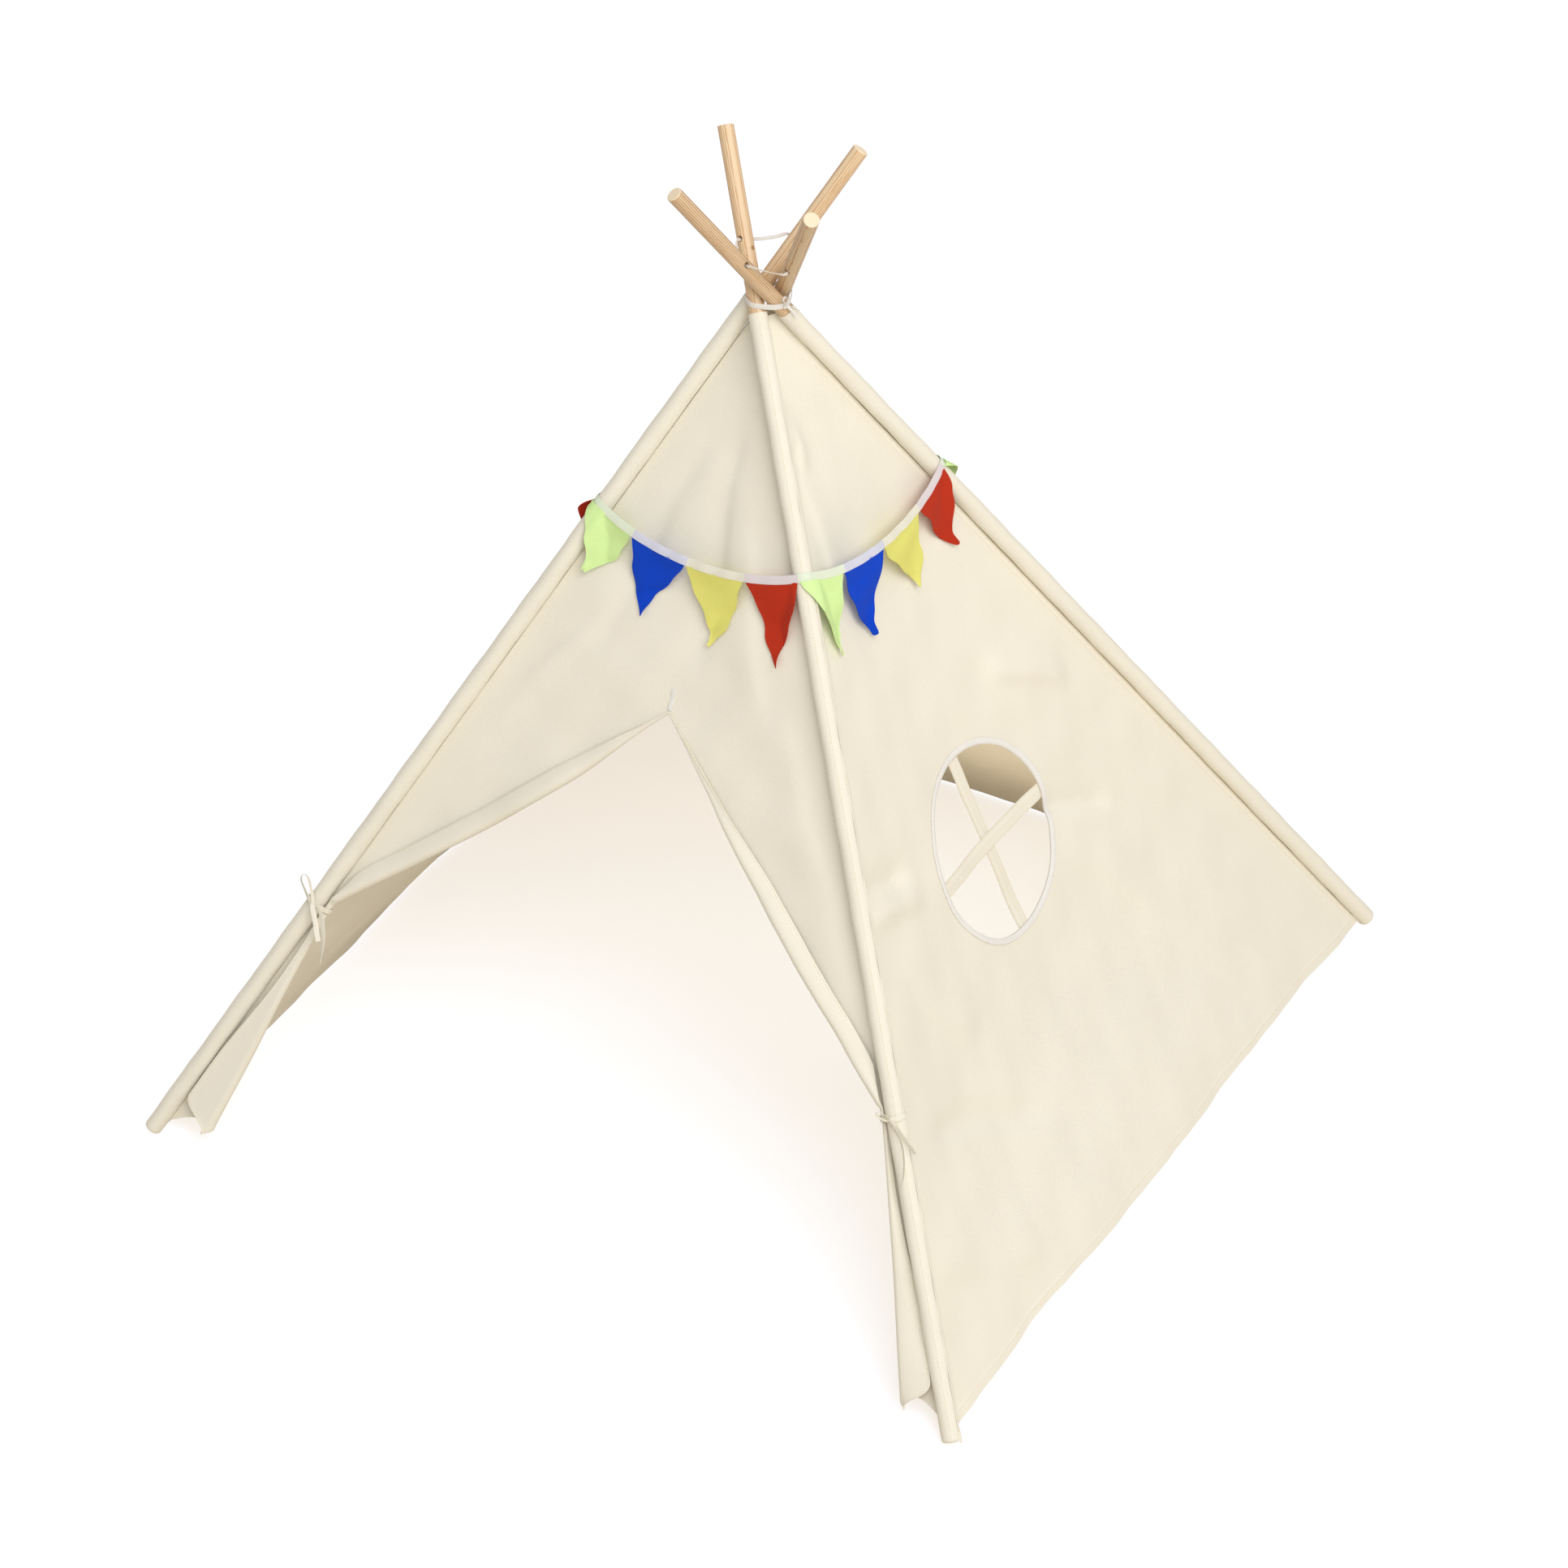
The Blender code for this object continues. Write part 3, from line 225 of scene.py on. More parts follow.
def drift(wall, x, y):
    """Broad shallow waves of cloth that hangs without being pulled tight."""
    seed = 1.7 * wall
    wave = np.sin(x * 21 + y * 9 + seed) * np.sin(y * 13 - x * 5 + 2.1 * seed)
    wave += 0.6 * np.sin(x * 37 - y * 25 + 0.7 + seed) * np.sin(y * 31 + x * 12 + seed)
    wave += 0.30 * np.sin(x * 66 + y * 23 + 1.3 * seed) * np.sin(y * 59 - x * 31 + 0.9 * seed)
    return 0.0019 * wave


def wall_lift(wall, share, up):
    """How far out a wall's cloth lies: it is sewn in behind the poles' axes and sags between them."""
    height = up / CROSSING_UP_POLE
    bow = np.sin(math.pi * np.clip(share, 0, 1))
    width = wall_width(wall, up)
    if wall == 0:
        depth = FRONT_SAG * width * bow * (1 - height)
    else:
        grow = smooth(height / 0.27) * smooth((1 - height) / 0.18)
        depth = blend_to(*WALL_SAG, grow) * width * bow
        depth += 0.0035 * np.sin(3 * math.pi * share + 2 * math.pi * height) * bow * (1 - height)
    x, y = (share - 0.5) * width, up * SLOPE_SHARE
    pressed = (creases(wall, x, y) + drift(wall, x, y)) * smooth(bow * width / 0.24)
    return pressed - depth - WALL_INSET


def cloth_point(wall, share, up, off=0.0):
    return place(wall, share, up, wall_lift(wall, share, up) + off)


def edge_share(wall, side, up):
    return BESIDE_SLEEVE / side_slant(wall, side) / wall_width(wall, up)


# ---- making meshes
def leave_selection():
    if bpy.context.object and bpy.context.object.mode != "OBJECT":
        bpy.ops.object.mode_set(mode="OBJECT")
    bpy.ops.object.select_all(action="DESELECT")


def pick(piece):
    leave_selection()
    piece.select_set(True)
    bpy.context.view_layer.objects.active = piece


def apply_modifiers(piece):
    pick(piece)
    for modifier in list(piece.modifiers):
        bpy.ops.object.modifier_apply(modifier=modifier.name)


def face_outwards(piece, weld=None):
    pick(piece)
    bpy.ops.object.mode_set(mode="EDIT")
    bpy.ops.mesh.select_all(action="SELECT")
    if weld:
        bpy.ops.mesh.remove_doubles(threshold=weld)
    bpy.ops.mesh.normals_make_consistent(inside=False)
    bpy.ops.object.mode_set(mode="OBJECT")


def shade(piece, degrees):
    pick(piece)
    bpy.ops.object.shade_smooth_by_angle(angle=math.radians(degrees))


def mesh_piece(name, points, faces, finish, uv=None):
    """A piece from points and faces, with a UV map in metres where the finish follows the surface."""
    mesh = bpy.data.meshes.new(name)
    mesh.from_pydata([tuple(point) for point in np.reshape(points, (-1, 3))], [], faces)
    if uv is not None:
        layer = mesh.uv_layers.new(name="cloth")
        corners = np.zeros(len(mesh.loops), int)
        mesh.loops.foreach_get("vertex_index", corners)
        layer.data.foreach_set("uv", np.reshape(uv, (-1, 2))[corners].ravel())
    mesh.materials.append(finish)
    piece = bpy.data.objects.new(name, mesh)
    bpy.context.scene.collection.objects.link(piece)
    return piece


def grid_faces(rows, columns, first=0, ring=False, closed=False):
    """The faces of a grid, row by row: a ring's last column joins its first, a closed grid's last row too."""
    faces = []
    for row in range(rows if closed else rows - 1):
        low, high = first + row * columns, first + (row + 1) % rows * columns
        for column in range(columns if ring else columns - 1):
            ahead = (column + 1) % columns
            faces.append((low + column, low + ahead, high + ahead, high + column))
    return faces


def end_faces(rows, columns, step=1):
    """The two faces that close a tube's ends."""
    return [tuple(range(columns))[::step], tuple(range((rows - 1) * columns, rows * columns))[::-step]]


def sew_sheet(name, grids, thickness, finish, ring=False):
    """Cloth from grids of (points, uv, doubled), welded, given its thickness and shaded."""
    faces, count = [], 0
    for points, _, _ in grids:
        faces += grid_faces(*points.shape[:2], count, ring)
        count += points.shape[0] * points.shape[1]
    points, flat, doubled = (np.concatenate([part.reshape(-1, size) for part in parts])
                             for parts, size in zip(zip(*grids), (3, 2, 1)))
    piece = mesh_piece(name, points, faces, finish, flat)
    group = piece.vertex_groups.new(name="doubled")
    for index in np.nonzero(doubled[:, 0] > 0)[0]:
        group.add([int(index)], float(doubled[index, 0]), "REPLACE")
    face_outwards(piece, 0.00002)
    thick = piece.modifiers.new("thickness", "SOLIDIFY")
    # Doubled cloth is twice as thick; the rest, with a weight of 0, gets half of that
    thick.thickness = thickness * 2
    thick.offset = 0
    thick.use_even_offset = False
    thick.vertex_group = "doubled"
    thick.thickness_vertex_group = 0.5
    apply_modifiers(piece)
    shade(piece, 50)
    return piece


# A tape's section has soft edges
TAPE_SECTION = np.array(((-0.5, -0.3), (-0.5, 0.3), (-0.42, 0.5), (0.42, 0.5),
                         (0.5, 0.3), (0.5, -0.3), (0.42, -0.5), (-0.42, -0.5)))


def ribbon(name, path, wide, widths, thickness, finish, closed=False):
    """A flat tape along a path; its UV runs across and along it."""
    path = np.asarray(path, float)
    ahead = np.roll(path, -1, 0) - np.roll(path, 1, 0)
    if not closed:
        ahead[0], ahead[-1] = path[1] - path[0], path[-1] - path[-2]
    ahead = unit(ahead)
    wide = square_to(np.broadcast_to(wide, path.shape), ahead)
    x = TAPE_SECTION[:, 0] * np.broadcast_to(widths, len(path))[:, None]
    z = TAPE_SECTION[:, 1] * thickness
    points = path[:, None] + wide[:, None] * x[..., None] + np.cross(ahead, wide)[:, None] * z[:, None]
    uv = np.stack([x + 0.5, np.broadcast_to(run_along(path)[:, None], x.shape)], -1)
    faces = grid_faces(*x.shape, ring=True, closed=closed) + ([] if closed else end_faces(*x.shape))
    piece = mesh_piece(name, points, faces, finish, uv)
    face_outwards(piece)
    shade(piece, 60)
    return piece


def curve_through(points, steps=6):
    """A smooth curve through given points, with equal steps between them."""
    points = np.asarray(points, float)
    padded = np.concatenate([[points[0] * 2 - points[1]], points, [points[-1] * 2 - points[-2]]])
    found = []
    for before, start, end, after in zip(padded, padded[1:], padded[2:], padded[3:]):
        for t in np.arange(steps) / steps:
            found.append(start + (end - before) * (t / 2)
                         + (before * 2 - start * 5 + end * 4 - after) * (t * t / 2)
                         + (start * 3 - before - end * 3 + after) * (t * t * t / 2))
    return np.array([*found, points[-1]])


# A stitch has four corners at its foot, sunk in the cloth, and four closer together on top
STITCH_SINK = 0.0002
STITCH_TOP = 0.62
STITCH_CORNERS = ((-0.5, -0.5), (0.5, -0.5), (0.5, 0.5), (-0.5, 0.5))
STITCH_FACES = np.array([(side, (side + 1) % 4, 4 + (side + 1) % 4, 4 + side) for side in range(4)]
                        + [(4, 5, 6, 7), (3, 2, 1, 0)])


def stitching(name, paths, finish, leg, slot="canvas"):
    """Stitches along paths of (points, outward directions), each a small raised dash, on a body."""
    sizes = bpy.context.scene.teepee_sizes
    points = []
    for path, outward in paths:
        run = run_along(path)
        count = max(int(run[-1] / sizes.stitch_pitch), 2)
        marks = (np.arange(count) + 0.5) * run[-1] / count
        spots = sample(marks, run, path)
        ahead = unit(sample(marks + 0.0004, run, path) - sample(marks - 0.0004, run, path))
        out = sample(marks / run[-1], np.linspace(0, 1, len(path)), np.broadcast_to(outward, path.shape))
        out = square_to(out, ahead)
        aside, corners = np.cross(ahead, out), []
        for ring, height in ((1.0, -STITCH_SINK), (STITCH_TOP, sizes.thread_width * 0.45)):
            long, wide = ring * sizes.stitch_length, ring * sizes.thread_width
            corners += [spots + ahead * (x * long) + aside * (y * wide) + out * height
                        for x, y in STITCH_CORNERS]
        points.append(np.stack(corners, 1))
    points = np.concatenate(points)
    faces = (STITCH_FACES + 8 * np.arange(len(points))[:, None, None]).reshape(-1, 4).tolist()
    piece = mesh_piece(name, points, faces, finish)
    shade(piece, 75)
    return carry(piece, leg, slot)


def carry(piece, leg, slot, *nodes):
    """The piece rides a body and stands for its CAD nodes, which it hides; the slot is not used."""
    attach(piece, leg)
    if nodes:
        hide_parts(*nodes)
    return piece


def gathers(piece, wall, side):
    """The piece gets a mesh of its own."""
    pole, inward, outward = side_frame(wall, side)
    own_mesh(piece)


def leg_of(wall, side):
    return f"{LEG_NAMES[(wall + side) % 4]}_leg"


# ---- finishes
def linear(code):
    """The linear red, green and blue of an sRGB hex value."""
    parts = [int(code[place : place + 2], 16) / 255 for place in (1, 3, 5)]
    return tuple(part / 12.92 if part <= 0.04045 else ((part + 0.055) / 1.055) ** 2.4 for part in parts)


def add_node(tree, kind, settings=None, inputs=None):
    """Adds one node with its settings, its values and its links."""
    made = tree.nodes.new(kind)
    for name, value in (settings or {}).items():
        setattr(made, name, value)
    for name, value in (inputs or {}).items():
        if isinstance(value, bpy.types.NodeSocket):
            tree.links.new(value, made.inputs[name])
        else:
            made.inputs[name].default_value = value
    return made


def maths(tree, operation, *values, clamp=False):
    settings = {"operation": operation, "use_clamp": clamp}
    return add_node(tree, "ShaderNodeMath", settings, dict(enumerate(values))).outputs[0]


def noise(tree, vector, scale, detail, roughness=0.5):
    inputs = {"Vector": vector, "Scale": scale, "Detail": detail, "Roughness": roughness}
    return add_node(tree, "ShaderNodeTexNoise", None, inputs).outputs["Fac"]


def mapping(tree, vector, kind="POINT", **inputs):
    return add_node(tree, "ShaderNodeMapping", {"vector_type": kind}, {"Vector": vector, **inputs}).outputs[0]


def map_range(tree, value, low, high, first, last, interpolation="LINEAR"):
    inputs = {"Value": value, "From Min": low, "From Max": high, "To Min": first, "To Max": last}
    return add_node(tree, "ShaderNodeMapRange", {"interpolation_type": interpolation}, inputs).outputs[0]


def mixed_colour(tree, factor, *colours):
    """A colour between two, each of them a socket or a linear colour."""
    inputs = {0: factor}
    for index, colour in enumerate(colours):
        inputs[6 + index] = colour if isinstance(colour, bpy.types.NodeSocket) else (*colour, 1)
    return add_node(tree, "ShaderNodeMix", {"data_type": "RGBA"}, inputs).outputs[2]


def object_place(tree):
    return add_node(tree, "ShaderNodeTexCoord").outputs["Object"]


def start_finish(name, roughness, sheen=0.0):
    """A new material with its Principled shader, as (material, tree, shader)."""
    made = bpy.data.materials.new(name)
    made.use_nodes = True
    shader = made.node_tree.nodes["Principled BSDF"]
    shader.inputs["Roughness"].default_value = roughness
    shader.inputs["Sheen Weight"].default_value = sheen
    shader.inputs["Sheen Roughness"].default_value = 0.5
    return made, made.node_tree, shader


def bump(tree, shader, strength, distance, height):
    inputs = {"Strength": strength, "Distance": distance, "Height": height}
    relief = add_node(tree, "ShaderNodeBump", None, inputs)
    tree.links.new(relief.outputs["Normal"], shader.inputs["Normal"])


def shade_of(colour, share):
    return tuple(part * share for part in colour)


# The fibre ends that make cloth look fuzzy stand about this far apart, and a pine's growth rings
FUZZ_PITCH = 0.0022
RING_PITCH = 0.0026


def cloth_finish(name, colour, dark_share, thread_mm, cloud_mm, roughness, sheen, relief):
    """Woven cotton: crossing threads, a fuzz of fibre ends, and slow changes of tone.

    Its threads are 0.45 mm apart, too fine to show, so they are drawn at thread_mm, near 1.5 mm.
    """
    made, tree, shader = start_finish(name, roughness, sheen)
    flat = add_node(tree, "ShaderNodeUVMap", {"uv_map": "cloth"}).outputs["UV"]
    threads = {"Vector": flat, "Scale": math.pi / (10 * thread_mm / 1000), "Distortion": 0.6,
               "Detail Scale": 1.5}
    warp, weft = (add_node(tree, "ShaderNodeTexWave", {"bands_direction": way}, threads).outputs["Fac"]
                  for way in "XY")
    weave = maths(tree, "MULTIPLY", warp, weft)
    fuzz = noise(tree, flat, 1 / FUZZ_PITCH, 3, 0.65)
    cloud = noise(tree, object_place(tree), 1000 / cloud_mm, 2)
    hollows = maths(tree, "MULTIPLY_ADD", weave, -0.35, 0.35)
    speckle = maths(tree, "MULTIPLY_ADD", fuzz, 1.25, -0.43)
    tone = maths(tree, "MULTIPLY_ADD", cloud, 0.5, maths(tree, "ADD", hollows, speckle), clamp=True)
    colour = mixed_colour(tree, tone, colour, shade_of(colour, dark_share))
    tree.links.new(colour, shader.inputs["Base Color"])
    bump(tree, shader, relief, 0.0004, maths(tree, "MULTIPLY_ADD", fuzz, 0.8, weave))
    return made


def chosen(name):
    return tuple(getattr(bpy.context.scene.teepee_colours, name))


def canvas_finish():
    """Unbleached cotton canvas, plain woven: matt, cream, with a faint fuzz and no shine."""
    return cloth_finish("unbleached_cotton_canvas", chosen("canvas"), dark_share=0.90, thread_mm=1.5,
                        cloud_mm=130, roughness=0.92, sheen=0.12, relief=0.35)


def tape_finish(name="white_cotton_tape", tint=None):
    """Bleached cotton tape: a fine rib across it, matt and nearly white."""
    return cloth_finish(name, tint or chosen("tape"), dark_share=0.88, thread_mm=1.2, cloud_mm=40,
                        roughness=0.85, sheen=0.1, relief=0.5)


def dyed_finish(name):
    """Dyed cotton flag cloth, thin and plain woven: the dye lies a little unevenly."""
    made = cloth_finish(f"{name}_dyed_cotton", chosen(name), dark_share=0.90, thread_mm=1.3, cloud_mm=28,
                        roughness=0.85, sheen=0.02, relief=0.5)
    made.node_tree.nodes["Principled BSDF"].inputs["Specular IOR Level"].default_value = 0.15
    return made


def thread_finish():
    """Sewing cotton, a shade warmer than the canvas, so that each stitch shows as a small dash."""
    made, tree, shader = start_finish("sewing_cotton", 0.7, 0.1)
    twist = noise(tree, object_place(tree), 900, 1)
    colour = mixed_colour(tree, twist, chosen("thread"), shade_of(chosen("thread"), 0.85))
    tree.links.new(colour, shader.inputs["Base Color"])
    return made


def pine_finish(turns):
    """Planed and sanded pine dowel: growth rings run lengthwise as grain and show as rings on the ends."""
    made, tree, shader = start_finish(f"planed_pine_{LEG_NAMES[turns]}", 0.5)
    pole = Pole(turns)
    turn = Matrix((np.cross(pole.across, pole.along), pole.across, pole.along)).transposed()
    in_pole = mapping(tree, object_place(tree), "TEXTURE", Location=tuple(pole.up(CROSSING_UP_POLE)),
                      Rotation=turn.to_euler())
    # The pith lies outside the dowel, 22 to 34 mm from its axis
    pith = (0.022 + 0.004 * turns, 0.009 - 0.006 * turns, 0.0)
    stretched = mapping(tree, in_pole, Location=pith, Scale=(1, 1, 0.045))
    sway = noise(tree, stretched, 55, 2)
    rings = add_node(tree, "ShaderNodeTexWave",
                     {"wave_type": "RINGS", "rings_direction": "Z", "wave_profile": "SAW"},
                     {"Vector": stretched, "Scale": math.pi / (10 * RING_PITCH), "Distortion": 2.2,
                      "Detail": 2, "Detail Scale": 6, "Detail Roughness": 0.6}).outputs["Fac"]
    fibre = noise(tree, mapping(tree, in_pole, Scale=(1, 1, 0.02)), 1500, 2, 0.6)
    grain = maths(tree, "MULTIPLY_ADD", fibre, 0.35, maths(tree, "POWER", rings, 3.2))
    drifted = maths(tree, "MULTIPLY_ADD", sway, 0.35, grain, clamp=True)
    scaled = maths(tree, "MULTIPLY_ADD", drifted, 1.25, -0.36, clamp=True)
    # The two poles at the back are painted darker: painted shade on the same pine
    tone = (1.0, 1.0, 0.88, 0.86)[turns]
    colour = mixed_colour(tree, scaled, shade_of(chosen("pine"), tone), shade_of(chosen("pine_grain"), tone))
    # The sawn end is paler than the sides
    height = add_node(tree, "ShaderNodeSeparateXYZ", None, {"Vector": in_pole}).outputs["Z"]
    top = map_range(tree, height, POLE_PAST_CROSSING - 0.0012, POLE_PAST_CROSSING - 0.0004, 0.0, 0.68)
    colour = mixed_colour(tree, top, colour, linear("#FFEFD2"))
    if turns == 1:
        # One small knot on the front pole, 9 mm long, above the crossing
        spot = mapping(tree, in_pole, Location=(0.0085, 0.006, -0.052))
        far = add_node(tree, "ShaderNodeVectorMath", {"operation": "LENGTH"}, {0: spot}).outputs["Value"]
        near = map_range(tree, far, 0.0015, 0.0042, 0.85, 0.0, "SMOOTHSTEP")
        colour = mixed_colour(tree, near, colour, linear("#9C6A3C"))
    tree.links.new(colour, shader.inputs["Base Color"])
    bump(tree, shader, 0.25, 0.0002, grain)
    return made


FINISHES = {}


def finish_of(name, make, *words):
    if name not in FINISHES:
        FINISHES[name] = make(*words)
    return FINISHES[name]


def canvas():
    return finish_of("canvas", canvas_finish)


def tape():
    return finish_of("tape", tape_finish)


def thread():
    return finish_of("thread", thread_finish)


# ---- settings
def size_setting(label, description, default, low, high):
    return bpy.props.FloatProperty(name=label, description=description, default=default, min=low, max=high,
                                   subtype="DISTANCE", unit="LENGTH")


def colour_setting(label, description, code):
    return bpy.props.FloatVectorProperty(
        name=label, description=description, default=linear(code), size=3, min=0, max=1, subtype="COLOR")


class TeepeeSizes(bpy.types.PropertyGroup):
    """Sizes of the sewing that a maker would change."""

    cloth_step: size_setting("Cloth step", "From one point of a wall's cloth to the next",
                             0.0075, 0.003, 0.03)
    stitch_pitch: size_setting("Stitch pitch", "Distance from one stitch to the next", 0.0040, 0.002, 0.01)
    stitch_length: size_setting("Stitch length", "Thread that shows in one stitch", 0.0027, 0.001, 0.006)
    thread_width: size_setting("Thread width", "Width of the sewing thread", 0.0008, 0.0003, 0.002)
    seam_width: size_setting("Seam width", "Doubled cloth beside a sleeve", 0.0105, 0.004, 0.03)
    hem_width: size_setting("Hem width", "Doubled cloth along a hem", 0.0120, 0.004, 0.04)
    left_flap_strip: size_setting("Left flap strip", "Its turned-back strip's width", 0.0145, 0.01, 0.08)
    right_flap_strip: size_setting("Right flap strip", "Its turned-back strip's width", 0.0155, 0.01, 0.08)


class TeepeeColours(bpy.types.PropertyGroup):
    """Colours of the cloth, the tape, the thread and the wood."""

    canvas: colour_setting("Canvas", "The unbleached canvas", "#F3EEDF")
    tape: colour_setting("Tape", "The white cotton tape", "#F3F0EC")
    thread: colour_setting("Thread", "The sewing thread", "#E9DABC")
    pine: colour_setting("Pine", "The pale wood between the rings", "#E9D1AE")
    pine_grain: colour_setting("Pine grain", "The darker wood of the rings", "#BB8852")
    green: colour_setting("Green flags", "The dyed cotton of the green flags", "#E0FFB0")
    blue: colour_setting("Blue flags", "The dyed cotton of the blue flags", "#0A47D2")
    yellow: colour_setting("Yellow flags", "The dyed cotton of the yellow flags", "#EFEC82")
    red: colour_setting("Red flags", "The dyed cotton of the red flags", "#C2351C")
    floor: colour_setting("Floor", "The studio floor", "#DDD0BA")


# ---- the stage
def make_camera():
    """A long lens that looks down at the door and the window, from the photograph's angle."""
    azimuth, elevation, roll = math.radians(30.1684), math.radians(36.7837), math.radians(-0.32)
    lens = bpy.data.cameras.new("camera")
    lens.lens = 126.1
    lens.sensor_width = 36
    lens.clip_end = 60
    camera = bpy.data.objects.new("camera", lens)
    camera.matrix_world = (Matrix.Translation((2.8229, -4.8269, 4.5739)) @ Matrix.Rotation(azimuth, 4, "Z")
                           @ Matrix.Rotation(math.pi / 2 - elevation, 4, "X") @ Matrix.Rotation(roll, 4, "Z"))
    bpy.context.scene.collection.objects.link(camera)
    bpy.context.scene.camera = camera


def make_lamp(name, place_at, target, size, power, colour):
    lamp = bpy.data.lights.new(name, "AREA")
    lamp.shape = "DISK"
    lamp.size = size
    lamp.energy = power
    lamp.color = colour
    holder = bpy.data.objects.new(name, lamp)
    holder.location = place_at
    holder.rotation_euler = (Vector(target) - Vector(place_at)).to_track_quat("-Z", "Y").to_euler()
    bpy.context.scene.collection.objects.link(holder)
    return holder


def seen_apart(tree, plain, seen):
    """One shader for the camera's rays and for mirrored and clear ones, and the plain one for the rest."""
    ray = add_node(tree, "ShaderNodeLightPath").outputs
    clear = maths(tree, "MAXIMUM", ray["Is Glossy Ray"], ray["Is Transmission Ray"])
    either = maths(tree, "MAXIMUM", ray["Is Camera Ray"], clear)
    inputs = {0: either, 1: plain.outputs[0], 2: seen.outputs[0]}
    return add_node(tree, "ShaderNodeMixShader", None, inputs).outputs[0]


def make_world():
    """Even white light, and white where the camera sees past the floor."""
    world = bpy.data.worlds.new("studio")
    bpy.context.scene.world = world
    world.use_nodes = True
    tree = world.node_tree
    tree.nodes.clear()
    seen = add_node(tree, "ShaderNodeBackground", None, {"Color": (1, 1, 1, 1), "Strength": 1.0})
    soft = add_node(tree, "ShaderNodeBackground", None, {"Color": (1.0, 0.99, 0.97, 1), "Strength": 0.512})
    add_node(tree, "ShaderNodeOutputWorld", None, {"Surface": seen_apart(tree, soft, seen)})


def make_floor():
    """A wide plain floor: white where it is seen, with the tent's faint warm shadow on it."""
    finish, tree, shader = start_finish("matt_white_board", 0.9)
    cloud = noise(tree, object_place(tree), 0.4, 1)
    colour = mixed_colour(tree, cloud, chosen("floor"), shade_of(chosen("floor"), 0.998))
    tree.links.new(colour, shader.inputs["Base Color"])
    lit = add_node(tree, "ShaderNodeBsdfDiffuse", None, {"Color": (0.36, 0.50, 0.72, 1)})
    glow = add_node(tree, "ShaderNodeEmission", None, {"Color": (0.770, 0.675, 0.574, 1), "Strength": 1.0})
    seen = add_node(tree, "ShaderNodeAddShader", None, {0: lit.outputs[0], 1: glow.outputs[0]})
    tree.links.new(seen_apart(tree, shader, seen), tree.nodes["Material Output"].inputs["Surface"])
    leave_selection()
    bpy.ops.mesh.primitive_plane_add(size=60, location=(0, 0, -0.0005))
    floor = bpy.context.object
    floor.name = "floor"
    bpy.ops.object.transform_apply(location=True, rotation=True, scale=True)
    floor.data.materials.append(finish)


class TEEPEE_OT_stage(bpy.types.Operator):
    """Set the camera, the soft light and the white floor"""

    bl_idname = "teepee.stage"
    bl_label = "Stage"

    def execute(self, context):
        make_camera()
        make_world()
        make_lamp("key_light", (3.8, -2.9, 5.7), target=(0, 0, 0.4), size=5.5, power=343,
                  colour=(1.0, 0.985, 0.965))
        # The light that the floor and the thin canvas throw about inside the tent
        glow = make_lamp("glow_in_tent", (0.12, 0.24, 0.012), target=(0.12, 0.44, 1.0), size=0.5, power=1.27,
                         colour=(1.0, 0.88, 0.70))
        glow.visible_camera = False
        make_floor()
        context.scene.view_settings.view_transform = "Standard"
        return {"FINISHED"}


# ---- poles and sleeves
class TEEPEE_OT_poles(bpy.types.Operator):
    """Finish the four turned pine poles"""

    bl_idname = "teepee.poles"
    bl_label = "Pine poles"

    def execute(self, context):
        for turns, name in enumerate(LEG_NAMES):
            finish = pine_finish(turns)
            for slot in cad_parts[f"{name}_pole"].material_slots:
                slot.material = finish
        return {"FINISHED"}


# A sleeve's sewn seam lies this far round from the wall's outward direction, away from the wall, and its
# stitches a little further on, in radians
SEAM_TURN = math.radians(-42)
STITCH_FROM_SEAM = 0.14
# The wall's edge is lapped over its left sleeve: where it starts and leaves it, where it lies on the wall,
# and how high up the pole it is fully lapped and where it ends
LAP_TURN = math.radians(14)
LAP_LEAVES = math.radians(66)
LAP_END = 0.036
LAP_FULL = 1.17
LAP_NONE = 1.285


def lapped_share(up):
    return smooth((LAP_NONE - up) / (LAP_NONE - LAP_FULL))


def sleeve_radius(turns, angle, up):
    """The middle of the sleeve's cloth: loose on the pole, flatter where a wall is sewn over it."""
    loose = 0.00025 * np.sin(up * 47 + 2 * angle + turns) + 0.0002 * np.sin(up * 113 - angle + 2 * turns)
    radius = SLEEVE_RADIUS - CANVAS / 2 - 0.0003 + loose - 0.0003 * smooth((angle - SEAM_TURN) / 0.10)
    if turns == 0:
        return radius
    under = smooth((angle - LAP_TURN + 0.12) / 0.12) * smooth((math.radians(118) - angle) / 0.3)
    return radius - 0.00062 * under * lapped_share(up)


def round_sleeve(turns, angle, up, radius):
    """A point round a pole, at an angle from the outward direction of the wall to its right."""
    pole, inward, outward = side_frame(turns, 0)
    around = np.multiply.outer(np.sin(angle), inward) + np.multiply.outer(np.cos(angle), outward)
    return pole.up(up) + around * radius[..., None]


